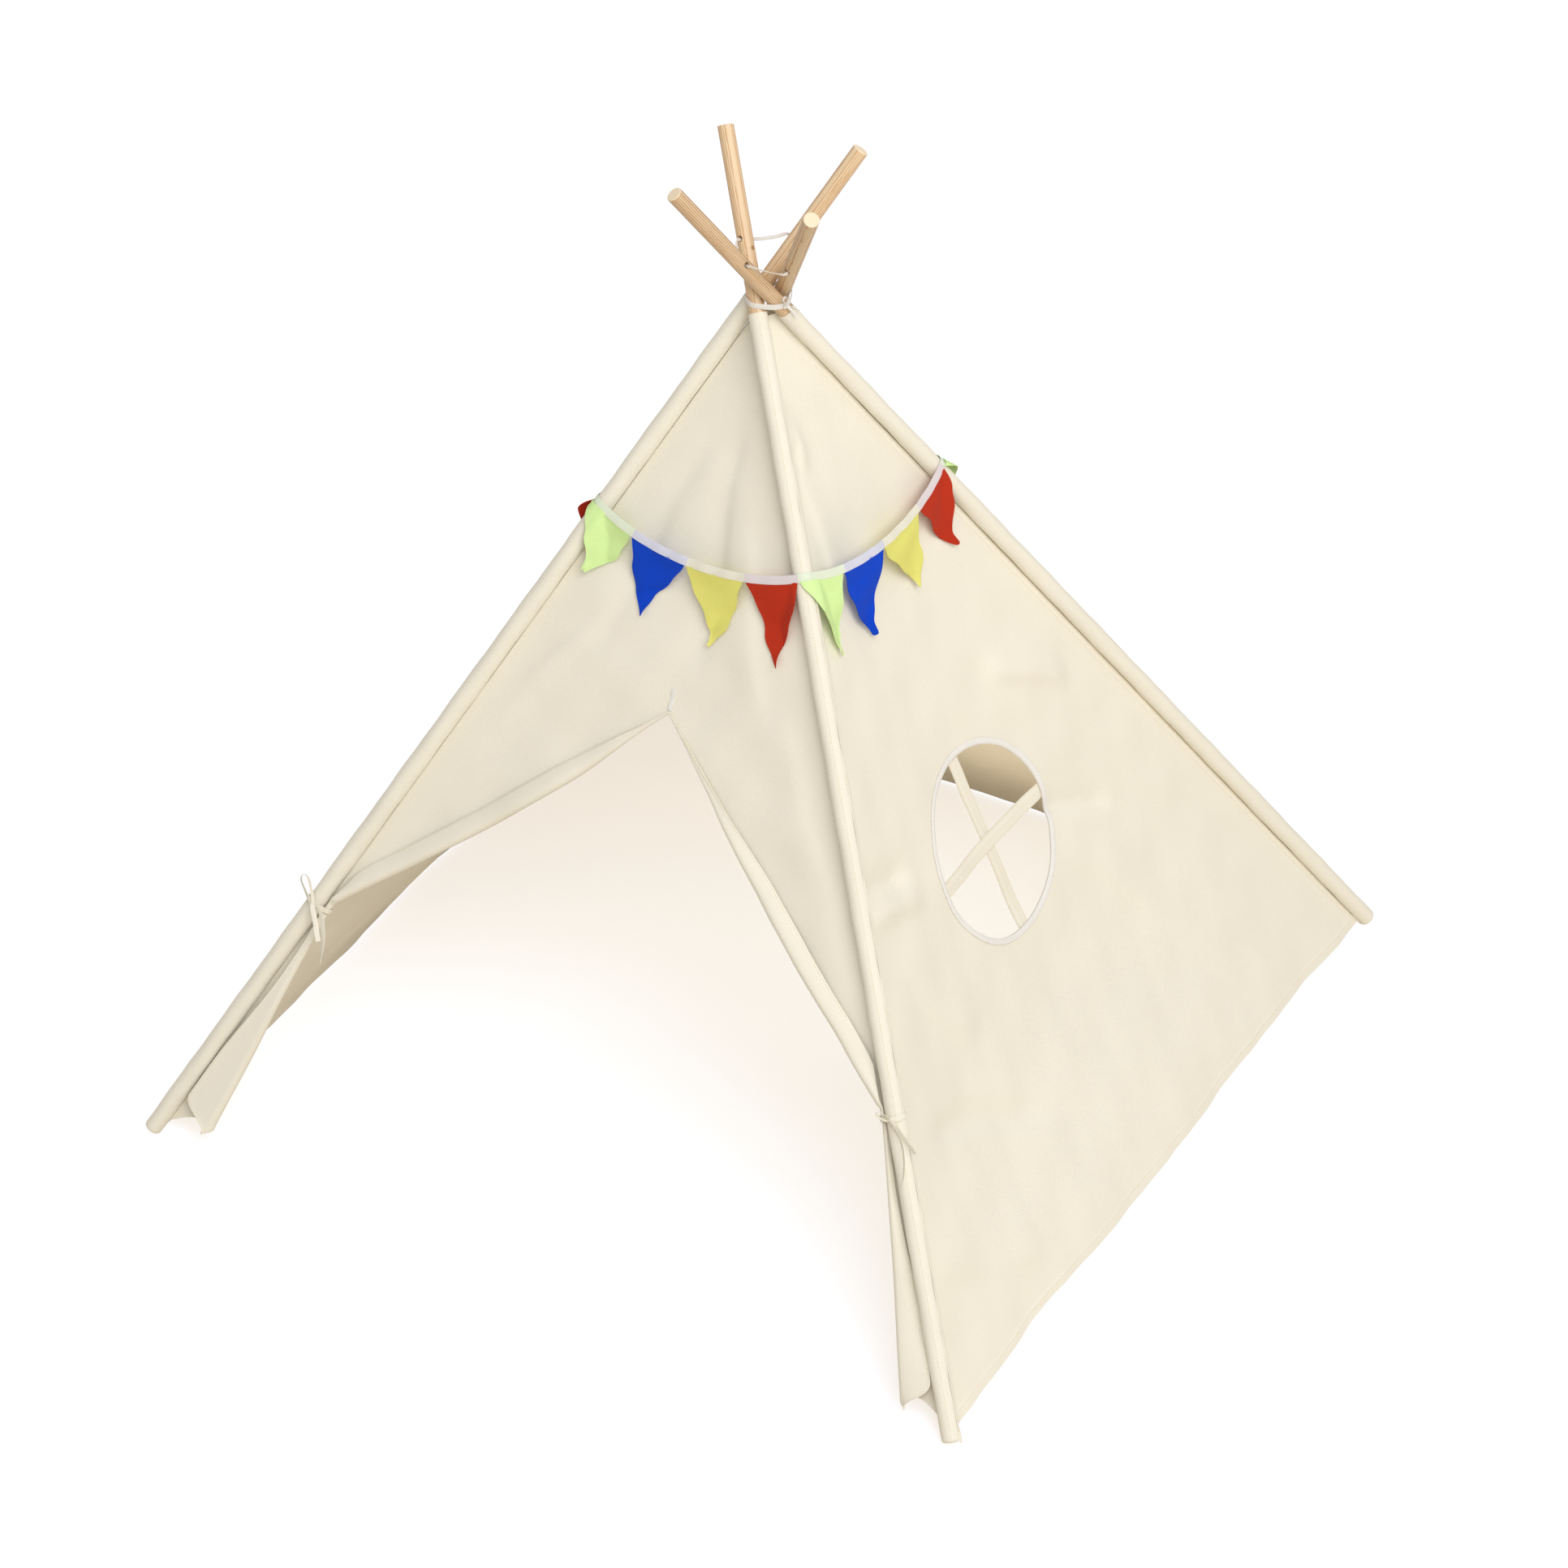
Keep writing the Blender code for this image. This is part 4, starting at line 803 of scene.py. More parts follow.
def make_sleeve(turns):
    """A canvas tube sewn down along its length, with a closed square-cut pocket at the foot."""
    name = LEG_NAMES[turns]
    # The pocket's flat sole lies under the pole's foot, with a rounded edge
    rounding, sole = 0.0034, 0.00605 + CANVAS / 2
    angles = (SEAM_TURN + 0.05 + circle(48) + math.pi) % (2 * math.pi) - math.pi
    angles = np.sort([*angles, SEAM_TURN - 0.02, SEAM_TURN + 0.09])
    bend = np.linspace(0, math.pi / 2, 6)[1:, None]
    body = np.concatenate([np.linspace(0.012, SLEEVE_TOP - 0.0045, 150),
                           [SLEEVE_TOP - 0.0035, SLEEVE_TOP]])[:, None]
    flat = sleeve_radius(turns, angles, 0.01) - rounding
    rings = np.vstack([flat * np.linspace(0.0015, 1, 6)[:, None], flat + rounding * np.sin(bend),
                       sleeve_radius(turns, angles, body)])
    ups = np.vstack([np.full((6, 1), sole), sole + rounding * (1 - np.cos(bend)), body]) + 0 * angles
    points = round_sleeve(turns, angles, ups, rings)
    points[..., 2] = np.maximum(points[..., 2], CANVAS / 2 + 0.0002)
    uv = np.stack([angles * SLEEVE_RADIUS + 0.2 * turns + 0 * ups, ups], -1)
    doubled = np.where(ups > SLEEVE_TOP - 0.012, 0.35, 0.0)
    sleeve = sew_sheet(f"{name}_sleeve", [(points, uv, doubled)], CANVAS, canvas(), ring=True)
    carry(sleeve, f"{name}_leg", "canvas", f"{name}_pole_sleeve")
    ups = np.linspace(0.012, SLEEVE_TOP - 0.001, 320)
    seam = np.full(len(ups), SEAM_TURN - STITCH_FROM_SEAM)
    path = round_sleeve(turns, seam, ups, sleeve_radius(turns, seam, ups) + CANVAS / 2)
    stitching(f"{name}_sleeve_stitches", [(path, unit(path - Pole(turns).up(ups)))], thread(), f"{name}_leg")


class TEEPEE_OT_sleeves(bpy.types.Operator):
    """Sew the four canvas sleeves round the poles"""

    bl_idname = "teepee.sleeves"
    bl_label = "Pole sleeves"

    def execute(self, context):
        for turns in range(4):
            make_sleeve(turns)
        return {"FINISHED"}


# ---- walls
# How far a wall's cloth is cut back from the poles' axes, and where up the poles it starts
CUT_BACK = 0.013
FOOT_TO_HEM = 0.02
# A lapped edge lies on its sleeve up to this share of its way to the wall, which it meets at this column
ON_SLEEVE = 0.42
LAP_COLUMN = 6
# The first rows and columns of a wall's half are its doubled hem and seam
DOUBLED = 5


def hang(half, stitches, wall, side, flat, area):
    """Half a wall and its stitches get meshes of their own."""
    gathers(half, wall, side)
    gathers(stitches, wall, side)


def half_columns(wall, side, up):
    """Distances from the pole's axis for the columns of half a wall, at some heights.

    The first seven columns follow the seam beside the sleeve and the last two lie close to the middle.
    """
    sizes = bpy.context.scene.teepee_sizes
    seam = sizes.seam_width
    share = 0.5 + (edge_share(wall, 0, up) - edge_share(wall, 1, up)) / 2
    middle = (share if side == 0 else 1 - share) * wall_width(wall, up) * side_slant(wall, side)
    room = middle - BESIDE_SLEEVE
    band = np.array((0.0, 0.0008, 0.35 * seam, 0.7 * seam, seam, seam + 0.0009, LAP_END - BESIDE_SLEEVE))
    first = BESIDE_SLEEVE + np.minimum(1, room * 0.8 / band[-1])[..., None] * band
    spread = np.linspace(0, 1, int(0.56 / sizes.cloth_step) + 1)[1:]
    last = (middle - np.minimum(0.001, room * 0.02))[..., None]
    return np.concatenate([first, blend_to(first[..., -1:], last, spread), middle[..., None]], -1)


def half_place(wall, side, distance, up, off=0.0):
    """A point on half a wall, from its distance to the pole's axis, square to the pole."""
    share = distance / side_slant(wall, side) / wall_width(wall, up)
    return cloth_point(wall, 1 - share if side == 1 else share, up, off)


def lap_point(wall, step, up):
    """The wall's cloth where it lies on its left sleeve, for a step from 0 on the sleeve to 1 on the wall."""
    radius, reach, nearer = SLEEVE_RADIUS - 0.0004, 0.030, 0.002
    across = side_slant(wall, 0) * wall_width(wall, up)
    angle = blend_to(LAP_TURN, LAP_LEAVES, np.clip(step / ON_SLEEVE, 0, 1))
    away = np.clip((step - ON_SLEEVE) / (1 - ON_SLEEVE), 0, 1)
    end_lift = wall_lift(wall, LAP_END / across, up)
    slope = (end_lift - wall_lift(wall, (LAP_END - nearer) / across, up)) / nearer
    # A smooth curve from the sleeve to the wall, with the direction of each at its ends
    end = away * away * (3 - 2 * away)
    leave, arrive = reach * (away**3 - 2 * away**2 + away), reach * (away**3 - away**2)
    sine, cosine = math.sin(LAP_LEAVES), math.cos(LAP_LEAVES)
    x = (1 - end) * radius * sine + leave * cosine + end * LAP_END + arrive
    y = (1 - end) * radius * cosine - leave * sine + end * end_lift + arrive * slope
    x = np.where(away > 0, x, radius * np.sin(angle))
    return place(wall, x / across, up, np.where(away > 0, y, radius * np.cos(angle)))


def half_rows(wall, side, up):
    """The points of half a wall in rows at these heights; a left half's edge is lapped over the sleeve."""
    columns = half_columns(wall, side, up)
    up = up[:, None]
    if side == 1:
        return half_place(wall, side, columns, up)
    steps = np.concatenate([np.linspace(0, ON_SLEEVE, 8), np.linspace(ON_SLEEVE, 1, 15)[1:]])
    plain = half_place(wall, 0, blend_to(columns[:, :1], columns[:, LAP_COLUMN : LAP_COLUMN + 1], steps), up)
    edge = blend_to(plain, lap_point(wall, steps, up), lapped_share(up)[..., None])
    return np.concatenate([edge, half_place(wall, 0, columns[:, LAP_COLUMN + 1 :], up)], 1)


def build_half(wall, side):
    """The grid of half a plain wall: its points, its flat places and its doubled strips."""
    sizes = bpy.context.scene.teepee_sizes
    every = np.arange(half_rows(wall, side, np.full(1, 0.5)).shape[1])
    hem = np.full(len(every), HEM_LIFT / POLE_RISE)
    wanted = HEM_LIFT + 0.0010 * np.sin(every * 0.11 + 2 * wall + side)
    for _ in range(6):
        hem = hem + (wanted - half_rows(wall, side, hem)[every, every, 2]) / POLE_RISE
    width = sizes.hem_width
    strip = np.array((0, 0.0012, 0.33 * width, 0.66 * width, width, width + 0.0010, width + 0.005))[:, None]
    spread = np.linspace(0, 1, int((WALL_TOP - FOOT_TO_HEM) / (sizes.cloth_step * 1.15)))[1:, None]
    up = np.concatenate([hem + strip, blend_to(hem + strip[-1], WALL_TOP, spread)])
    points = np.stack([half_rows(wall, side, up[:, column])[:, column] for column in every], 1)
    uv = np.stack([points @ wall_across(wall) + 2.0 * wall, up * SLOPE_SHARE], -1)
    doubled = np.zeros(up.shape)
    doubled[:DOUBLED] = 1
    if side == 1:
        doubled[:, :DOUBLED] = 1
    return points, uv, doubled


def wall_stitches(wall, side):
    """The lines of stitches on half a wall: one row along the hem and two beside the sleeve."""
    sizes = bpy.context.scene.teepee_sizes

    def line(distance, up, off=STITCH_OFF):
        path = half_place(wall, side, distance, up, off)
        return path, unit(path - half_place(wall, side, distance, up))

    widest = wall_width(wall, FOOT_TO_HEM) * side_slant(wall, side) / 2
    distance = np.linspace((0.030, 0.016)[side], widest - 0.003, 160)
    up = np.full(len(distance), FOOT_TO_HEM)
    for _ in range(6):
        low = half_place(wall, side, distance, up)[:, 2]
        up = up + (HEM_LIFT + (sizes.hem_width - 0.0025) * 0.8875 - low) / POLE_RISE
    paths = [line(distance, up), line(distance, up, -STITCH_OFF)]
    if side == 1:
        up = np.linspace(0.04, WALL_TOP - 0.09, 260)
        for away in (0.0022, sizes.seam_width - 0.002):
            paths.append(line(np.full(len(up), BESIDE_SLEEVE + away), up))
    return paths


def make_half_wall(wall, side):
    name = f"{WALL_NAMES[wall]}_wall_{SIDES[side]}_half"
    half = sew_sheet(name, [build_half(wall, side)], CANVAS, canvas())
    low, high = BASE_SIDE / 2 - CUT_BACK, (1 - WALL_TOP / CROSSING_UP_POLE) * BASE_SIDE / 2
    length = (WALL_TOP - FOOT_TO_HEM) * SLOPE_SHARE
    area = (low + high) / 2 * length
    if wall == 1:
        cut_window(half)
        area -= math.pi * WINDOW_CUT**2 / 2
    carry(half, leg_of(wall, side), "canvas", f"{WALL_NAMES[wall]}_wall")
    stitches = stitching(f"{name}_stitches", wall_stitches(wall, side), thread(), leg_of(wall, side))
    hang(half, stitches, wall, side, (low + 0.012, length), area)


class TEEPEE_OT_walls(bpy.types.Operator):
    """Hang the three plain walls, the right one with its window hole"""

    bl_idname = "teepee.walls"
    bl_label = "Plain walls"

    def execute(self, context):
        for wall in (1, 2, 3):
            for side in (0, 1):
                make_half_wall(wall, side)
        return {"FINISHED"}


# ---- the front wall and its flaps
# Each flap is open at this distance from the slit, and starts to close at this distance from its tie
FLAP_TAPERS = (0.180, 0.300)
TIE_TAPER = 0.055
# Radii of the rolled cloth: at the slit, where it is widest, and gathered at the ties
SLIT_RADIUS = 0.0014
ROLL_RADIUS = 0.0066
GATHER_RADIUS = 0.0045
# How far the gathered cloth runs in from the sleeve, and back over the roll; and the tie's reach up the pole
GATHER_IN = 0.006
GATHER_BACK = 0.0012
ABOVE_TIE = 0.018
BELOW_TIE = 0.0045
# How much each flap's strip bulges into the door, and how far its tail reaches in from the sleeve at the foot
BULGES = (0.007, 0.002)
TAIL_REACHES = (0.052, 0.042)
# How finely the front wall and the folds of its upper strip and its tails are made
FRONT_COLUMNS = 60
FRONT_ROWS = 96
STRIP_FINE = 6
TAIL_FINE = 8


def flap_strip(side):
    return getattr(bpy.context.scene.teepee_sizes, f"{SIDES[side]}_flap_strip")


def door_edge_up(across):
    """How far up the poles the door's slanting edge lies, at a share across the front wall's cloth."""
    away = np.abs(across - 0.5) * 2
    low = TIE_UP_POLE + ABOVE_TIE
    fall = (SLIT_UP_POLE - low) / wall_width(0, low)
    up = np.full(np.shape(across), SLIT_UP_POLE)
    for _ in range(24):
        up = SLIT_UP_POLE - fall * away * wall_width(0, up)
    return up


def front_share(across, up):
    left, right = edge_share(0, 0, up), edge_share(0, 1, up)
    return left + (1 - left - right) * across


def front_columns(side):
    """Shares across the front wall, from the sleeve to the slit, close together at both ends."""
    inner = np.linspace(0, 1, FRONT_COLUMNS)[1:-1] ** 0.92
    share = np.concatenate([[0, 0.002], 0.002 + 0.4955 * inner, [0.4985, 0.5]])
    return share if side == 0 else 1 - share


def roll_steps(turn_in, radius, turn_back, fine, settle=0.0):
    """A fold in cloth as (across, out) steps: in flat, half a turn round, and back, settling down."""
    turn = np.linspace(0, math.pi, 2 * fine)[1:]
    share = np.linspace(0, 1, fine + 3)[1:]
    across = [turn_in * np.linspace(0, 1, fine), turn_in + radius * np.sin(turn), turn_in - turn_back * share]
    out = [np.zeros(fine), radius * (1 - np.cos(turn)), 2 * radius - settle * share**1.6]
    return np.stack([np.concatenate(across), np.concatenate(out)], -1)


def fold_grid(side):
    """The door flap's upper part: the wall's cloth turned outwards along the door's edge."""
    across = front_columns(side)[::-1]
    ups = door_edge_up(across)
    base = cloth_point(0, front_share(across, ups), ups)
    normal = outward_at(0, front_share(across, ups), ups)
    length = np.linalg.norm(base[-1] - base[0])
    into_door = unit(np.cross(unit(base[-1] - base[0]), normal)) * (-1, 1)[side]
    rows = []
    for spot, inwards, outwards in zip(base, into_door, normal):
        from_slit = np.linalg.norm(spot - base[0])
        free = smooth((length - from_slit) / TIE_TAPER)
        opened = smooth(from_slit / FLAP_TAPERS[side])
        radius = blend_to(SLIT_RADIUS, ROLL_RADIUS, opened)
        turn_in = 0.0012 + 0.006 * opened * free + 0.006 * (1 - free)
        turn_back = flap_strip(side) * opened * free + 0.0012
        settle = max(0.0, 2 * radius - 0.0050) * min(1.0, turn_back / 0.012)
        steps = roll_steps(turn_in, radius, turn_back, STRIP_FINE, settle)
        droop = BULGES[side] * math.sin(math.pi * min(from_slit / length, 1)) ** 1.5
        reach = np.clip(steps[:, 0] / (turn_in + radius), 0, 1)
        # The part that is turned back droops too
        back = 2 * STRIP_FINE - 1
        reach[back:] = np.maximum(reach, 0.55 + 0.45 * reach)[back:]
        wave = 0.0014 * math.sin(from_slit * 38 + side) * opened * free
        moved = steps + np.stack([droop * reach, wave * reach], -1)
        rows.append(spot + combine(moved, inwards, outwards))
    pole, inward, outward = side_frame(0, side)
    gathered = combine(roll_steps(GATHER_IN, GATHER_RADIUS, GATHER_BACK, STRIP_FINE), inward, outward)
    for up in np.linspace(TIE_UP_POLE + ABOVE_TIE - 0.0045, TIE_UP_POLE - BELOW_TIE, 5):
        rows.append(pole.up(up) + inward * BESIDE_SLEEVE - outward * WALL_INSET + gathered)
    points = np.array(rows)
    width, run = run_along(points[len(across) // 2]), run_along(points[:, 0])
    uv = np.stack(np.meshgrid(width + 5, run, indexing="xy"), -1)
    doubled = np.zeros(points.shape[:2])
    doubled[6:-8, -3:] = 0.8
    return points, uv, doubled


def front_grid(side):
    across = front_columns(side)
    up = blend_to(door_edge_up(across), WALL_TOP, np.linspace(0, 1, FRONT_ROWS)[:, None])
    points = cloth_point(0, front_share(across, up), up)
    return points, np.stack([points[..., 0] + 9, up * SLOPE_SHARE], -1), np.zeros(up.shape)


def front_cut(side):
    """The flat cut of half the front wall with its turned-back strip: its size and its area."""
    tie, slit, top = TIE_UP_POLE * SLOPE_SHARE, SLIT_UP_POLE * SLOPE_SHARE, WALL_TOP * SLOPE_SHARE
    half_at_tie, half_at_slit = (BASE_SIDE / 2 * (1 - up / CROSSING_UP_POLE) - CUT_BACK
                                 for up in (TIE_UP_POLE, SLIT_UP_POLE))
    area = half_at_slit * (top - slit) / 2 + half_at_slit * (slit - tie - ABOVE_TIE) / 2
    # The strip with the roll is 24 mm wider than its turned-back part, and tapers at both ends
    area += (flap_strip(side) + 0.024) * math.hypot(half_at_tie, slit - tie) * 0.74
    return (half_at_tie + 0.01, top - tie + 0.01), area


def make_slit_tab():
    """The short white tape sewn over the top of the door's slit."""
    ups = SLIT_UP_POLE + np.linspace(0.0003, 0.0303, 16)
    path = cloth_point(0, np.full(16, 0.5), ups, CANVAS / 2 + 0.0007)
    path = path + outward_at(0, 0.5, 0.9) * (0.0004 * np.sin(np.linspace(0, 9, 16)))[:, None]
    tab = ribbon("door_slit_tab_tape", path, wall_across(0), 0.0062, TAPE_THICKNESS, tape())
    gathers(carry(tab, "left_leg", "white_tape", "door_slit_tab"), 0, 0)


class TEEPEE_OT_front_wall(bpy.types.Operator):
    """Hang the front wall in two halves, with the cloth turned back along the door"""

    bl_idname = "teepee.front_wall"
    bl_label = "Front wall and door folds"

    def execute(self, context):
        for side, word in enumerate(SIDES):
            fold = fold_grid(side)
            half = sew_sheet(f"front_wall_{word}_half", [front_grid(side), fold], CANVAS, canvas())
            carry(half, leg_of(0, side), "canvas", "front_wall", f"{word}_door_flap_fold")
            # The stitches run just inside the free edge, but not close to the slit and the tie
            free, next_in = fold[0][8:-12, -1], fold[0][8:-12, -2]
            edge = blend_to(free, next_in, 0.9)
            out = unit(np.cross(np.gradient(edge, axis=0), free - next_in))
            out = out * np.sign(np.sum(out * outward_at(0, 0.5, 0.6), -1, keepdims=True))
            line = (edge + out * STITCH_OFF, out)
            stitches = stitching(f"{word}_door_stitches", [line], thread(), leg_of(0, side))
            hang(half, stitches, 0, side, *front_cut(side))
        make_slit_tab()
        return {"FINISHED"}


def tail_grid(side):
    """A door flap's lower part: sewn along the sleeve, turned outwards and open below the tie."""
    pole, inward, outward = side_frame(0, side)
    start = TIE_UP_POLE - BELOW_TIE - 0.0006
    rows = []
    for share in [*np.linspace(0, 0.80, 34), *np.linspace(0.80, 1, 22)[1:]]:
        height = (1 - share) * start * POLE_RISE
        opened = smooth(share / 0.70)
        turn_in = blend_to(GATHER_IN, TAIL_REACHES[side], share**1.05)
        radius = blend_to(GATHER_RADIUS, 0.0060, opened)
        back = blend_to(GATHER_BACK, (turn_in * 0.86, turn_in - 0.0024)[side], opened)
        turn_back = back * smooth(0.06 + (height - 0.004) / 0.050) + 0.0004
        # The left flap stands off its sleeve, the right flap settles against its own
        settle = (0.0, max(0.0, 2 * radius - 0.0040))[side] * smooth((0.92 - share) / 0.25)
        steps = roll_steps(turn_in, radius, turn_back, TAIL_FINE, settle)
        step_in, out = steps.T
        index = np.arange(len(steps))
        turned = np.maximum(0.0, (index - 2 * TAIL_FINE + 1) / (len(steps) - 2 * TAIL_FINE))
        swell = 0.0020 * math.sin(share * 7.5 + side) * opened
        out = out + (0.0030, 0.0045)[side] * turned * smooth((share - 0.62) / 0.34)
        out = out + swell * np.minimum(step_in / 0.03, 1)
        aside = combine(np.stack([BESIDE_SLEEVE + step_in, out - WALL_INSET], -1), inward, outward)
        ratio = np.minimum(step_in / (turn_in + radius), 1)
        lift = 0.016 + 0.012 * ratio + 0.010 * np.where(index <= 1.5 * TAIL_FINE, np.sin(math.pi * ratio), 0)
        floor = (lift - aside[:, 2]) / POLE_RISE
        rows.append(pole.up(start + (floor - start) * share) + aside)
    points = np.array(rows)
    width = np.stack([run_along(row) for row in points])
    uv = np.stack([width + 12 + side, np.broadcast_to(run_along(points[:, 0])[:, None], width.shape)], -1)
    doubled = np.zeros(points.shape[:2])
    doubled[-3:] = 0.6
    doubled[:, -2:] = 0.7
    return points, uv, doubled


class TEEPEE_OT_door_tails(bpy.types.Operator):
    """Hang the two door flaps' lower parts, which swing beside the poles"""

    bl_idname = "teepee.door_tails"
    bl_label = "Door flap tails"

    def execute(self, context):
        for side, word in enumerate(SIDES):
            body = f"{word}_door_tail"
            grid = tail_grid(side)
            tail = sew_sheet(f"{body}_cloth", [grid], CANVAS, canvas())
            carry(tail, body, "canvas", f"{word}_door_flap_tail")
            out = side_frame(0, side)[2]
            edge = blend_to(grid[0][:, -1], grid[0][:, -2], 0.6)[12:] + out * (CANVAS * 0.85)
            stitches = stitching(f"{word}_tail_stitches", [(edge, out)], thread(), body)
        return {"FINISHED"}


# ---- the window
# The binding's inner edge, the edge of the hole in the cloth, and the wall's outward direction here
WINDOW_RADIUS = 0.122
WINDOW_CUT = 0.1236
STRAP_WIDTH = 0.0200
STRAP_THICKNESS = 0.0018
PLAIN_OUT = outward_at(1, 0.5, WINDOW_UP_SLOPE / SLOPE_SHARE)


def window_spot(turn, radius, off=0.0, aside=0.0):
    """A point on the right wall: an angle, a distance from the window's middle and a side step."""
    x = radius * np.cos(turn) - aside * np.sin(turn)
    up = (WINDOW_UP_SLOPE + radius * np.sin(turn) + aside * np.cos(turn)) / SLOPE_SHARE
    return cloth_point(1, 0.5 + x / wall_width(1, up), up, off)


def cut_window(half):
    """Cuts the round hole with a straight-sided punch."""
    rim = window_spot(circle(96), WINDOW_CUT)
    rim = rim - PLAIN_OUT * ((rim - window_spot(0.0, 0.0)) @ PLAIN_OUT)[:, None]
    points = np.concatenate([rim - PLAIN_OUT * 0.08, rim + PLAIN_OUT * 0.08])
    punch = mesh_piece("window_punch", points, grid_faces(2, 96, ring=True) + end_faces(2, 96, -1), canvas())
    face_outwards(punch)
    cut = half.modifiers.new("window", "BOOLEAN")
    cut.operation = "DIFFERENCE"
    cut.solver = "EXACT"
    cut.object = punch
    apply_modifiers(half)
    bpy.data.objects.remove(punch, do_unlink=True)
    shade(half, 50)


def make_binding(side):
    """Half of the tape folded round the window's edge, a little full between its stitches."""
    slot = CANVAS / 2 + 0.0004
    outside = slot + 0.0010
    front = [(0.0002, outside * 0.6), (0.0014, outside), (0.0045, outside * 1.10),
             (0.0076, outside), (0.0083, outside * 0.8), (0.0080, slot), (0.0004, slot)]
    profile = [(away, -off) for away, off in front[::-1]] + [(0.0, 0.0)] + front
    turns = (math.pi / 2, -math.pi / 2)[side] + np.linspace(0, math.pi, 72)
    points = np.stack([window_spot(turns, WINDOW_RADIUS + away, off) for away, off in profile], 1)
    uv = np.stack(np.meshgrid(np.linspace(0, 0.022, len(profile)), turns * WINDOW_RADIUS, indexing="xy"), -1)
    size = points.shape[:2]
    name = f"window_binding_{SIDES[side]}_half"
    piece = mesh_piece(name, points, grid_faces(*size, ring=True) + end_faces(*size, -1), tape(), uv)
    face_outwards(piece)
    shade(piece, 50)
    gathers(carry(piece, leg_of(1, side), "white_tape", "window_binding"), 1, side)
    path = window_spot(turns, WINDOW_RADIUS + 0.0062, CANVAS / 2 + 0.0014 + 0.0002)
    stitches = stitching(f"{name}_stitches", [(path, PLAIN_OUT)], tape(), leg_of(1, side), "white_tape")
    gathers(stitches, 1, side)


def make_strap(word, turn, layer, start, end, side):
    """A strap across the window, behind the wall, with three lines of stitches."""
    share = np.linspace(start, end, 40)
    distance = (WINDOW_RADIUS + 0.012) * (2 * share - 1)
    middle = np.sin(math.pi * np.clip(share, 0, 1))
    hang = CANVAS / 2 + 0.0026 + 0.0024 * layer * smooth(middle) + 0.0010 * np.sin(share * 9) * middle
    path = window_spot(turn, distance, -hang)
    wide = unit(window_spot(turn, distance, -hang, 0.001) - path)
    name = f"window_{word}_strap_{SIDES[side]}"
    strap = ribbon(name, path, wide, STRAP_WIDTH, STRAP_THICKNESS, canvas())
    gathers(carry(strap, leg_of(1, side), "canvas", f"window_{word}_strap"), 1, side)
    lines = [(path + wide * aside + PLAIN_OUT * 0.00095, PLAIN_OUT) for aside in (0.0, 0.0088, -0.0088)]
    gathers(stitching(f"{name}_stitches", lines, thread(), leg_of(1, side)), 1, side)


class TEEPEE_OT_window(bpy.types.Operator):
    """Bind the window's edge and sew its two straps"""

    bl_idname = "teepee.window"
    bl_label = "Window trim"

    def execute(self, context):
        for side in (0, 1):
            make_binding(side)
        make_strap("level", 0.0, 0, 0.0, 0.5, 0)
        make_strap("level", 0.0, 0, 0.5, 1.0, 1)
        make_strap("upright", math.pi / 2, 1, 0.0, 1.0, 0)
        return {"FINISHED"}


# ---- ties and bows
# The camera's own directions, to the nearest degree, in which the tie-backs' bows were laid out
BOW_TURN, BOW_TILT = math.radians(30), math.radians(37)
BOW_RIGHT = np.array((math.cos(BOW_TURN), math.sin(BOW_TURN), 0))
BOW_BACK = np.array((math.sin(BOW_TURN) * math.cos(BOW_TILT), -math.cos(BOW_TURN) * math.cos(BOW_TILT),
                     math.sin(BOW_TILT)))
BOW_UP = np.cross(BOW_BACK, BOW_RIGHT)
KNOT_THICKNESS = 0.0009
STRAND_THICKNESS = 0.0007
TOP_TIE_WIDTH = 0.0072
TIE_BACK_WIDTH = 0.0066
# How far round from the next wall's seam a tie-back's loop stays, in radians
SEAM_ROOM = 0.26

# Strands of each bow, in millimetres right, up and out from the knot, with the tape's turn in degrees
BOWS = {
    "left": {
        "loop": ((0, -1, 2, 10), (-4, 6, 4, 40), (-9, 18, 6, 62), (-13, 29, 7, 66), (-12, 35, 7, 80),
                 (-8, 36, 7, 92), (-4, 30, 6, 108), (-1, 17, 5, 118), (1, 5, 4, 130), (1, 0, 3, 150)),
        "short_tail": ((0, 1, 3, 8), (1, -8, 5, 4), (4, -22, 7, 0), (6, -36, 8, -6), (8, -48, 8, -8)),
        "long_tail": ((1, 1, 3, 20), (6, -3, 6, 40), (12, -16, 9, 42), (14, -32, 10, 38),
                      (14, -52, 10, 52), (10, -76, 9, 66)),
    },
    "right": {
        "loop": ((1, 0, 2, 40), (-4, 4, 5, 70), (-10, 8, 7, 80), (-15, 9, 7, 96), (-16, 6, 7, 112),
                 (-11, 2, 6, 120), (-4, -1, 4, 130), (0, -1, 3, 150)),
        "short_tail": ((0, 0, 3, 30), (7, -7, 6, 34), (16, -20, 7, 40), (25, -32, 8, 44), (31, -41, 8, 46)),
        "long_tail": ((0, 0, 3, 60), (5, -9, 5, 66), (13, -24, 6, 70), (17, -42, 7, 74),
                      (17, -64, 7, 76), (14, -82, 7, 78)),
    },
    "top": {
        "loop": ((0, 0, 1, 30), (-3, 4, 3, 60), (-7, 9, 5, 76), (-9, 13, 5, 92), (-7, 16, 5, 110),
                 (-3, 14, 4, 124), (-1, 7, 3, 140), (0, 0, 2, 150)),
        "tail_front": ((0, 0, 1, 20), (3, -4, 4, 30), (6, -9, 7, 34), (8, -14, 9, 30)),
        "tail_back": ((0, 0, 1, 40), (5, -2, 3, 50), (10, -6, 6, 56), (15, -9, 8, 60)),
    },
}


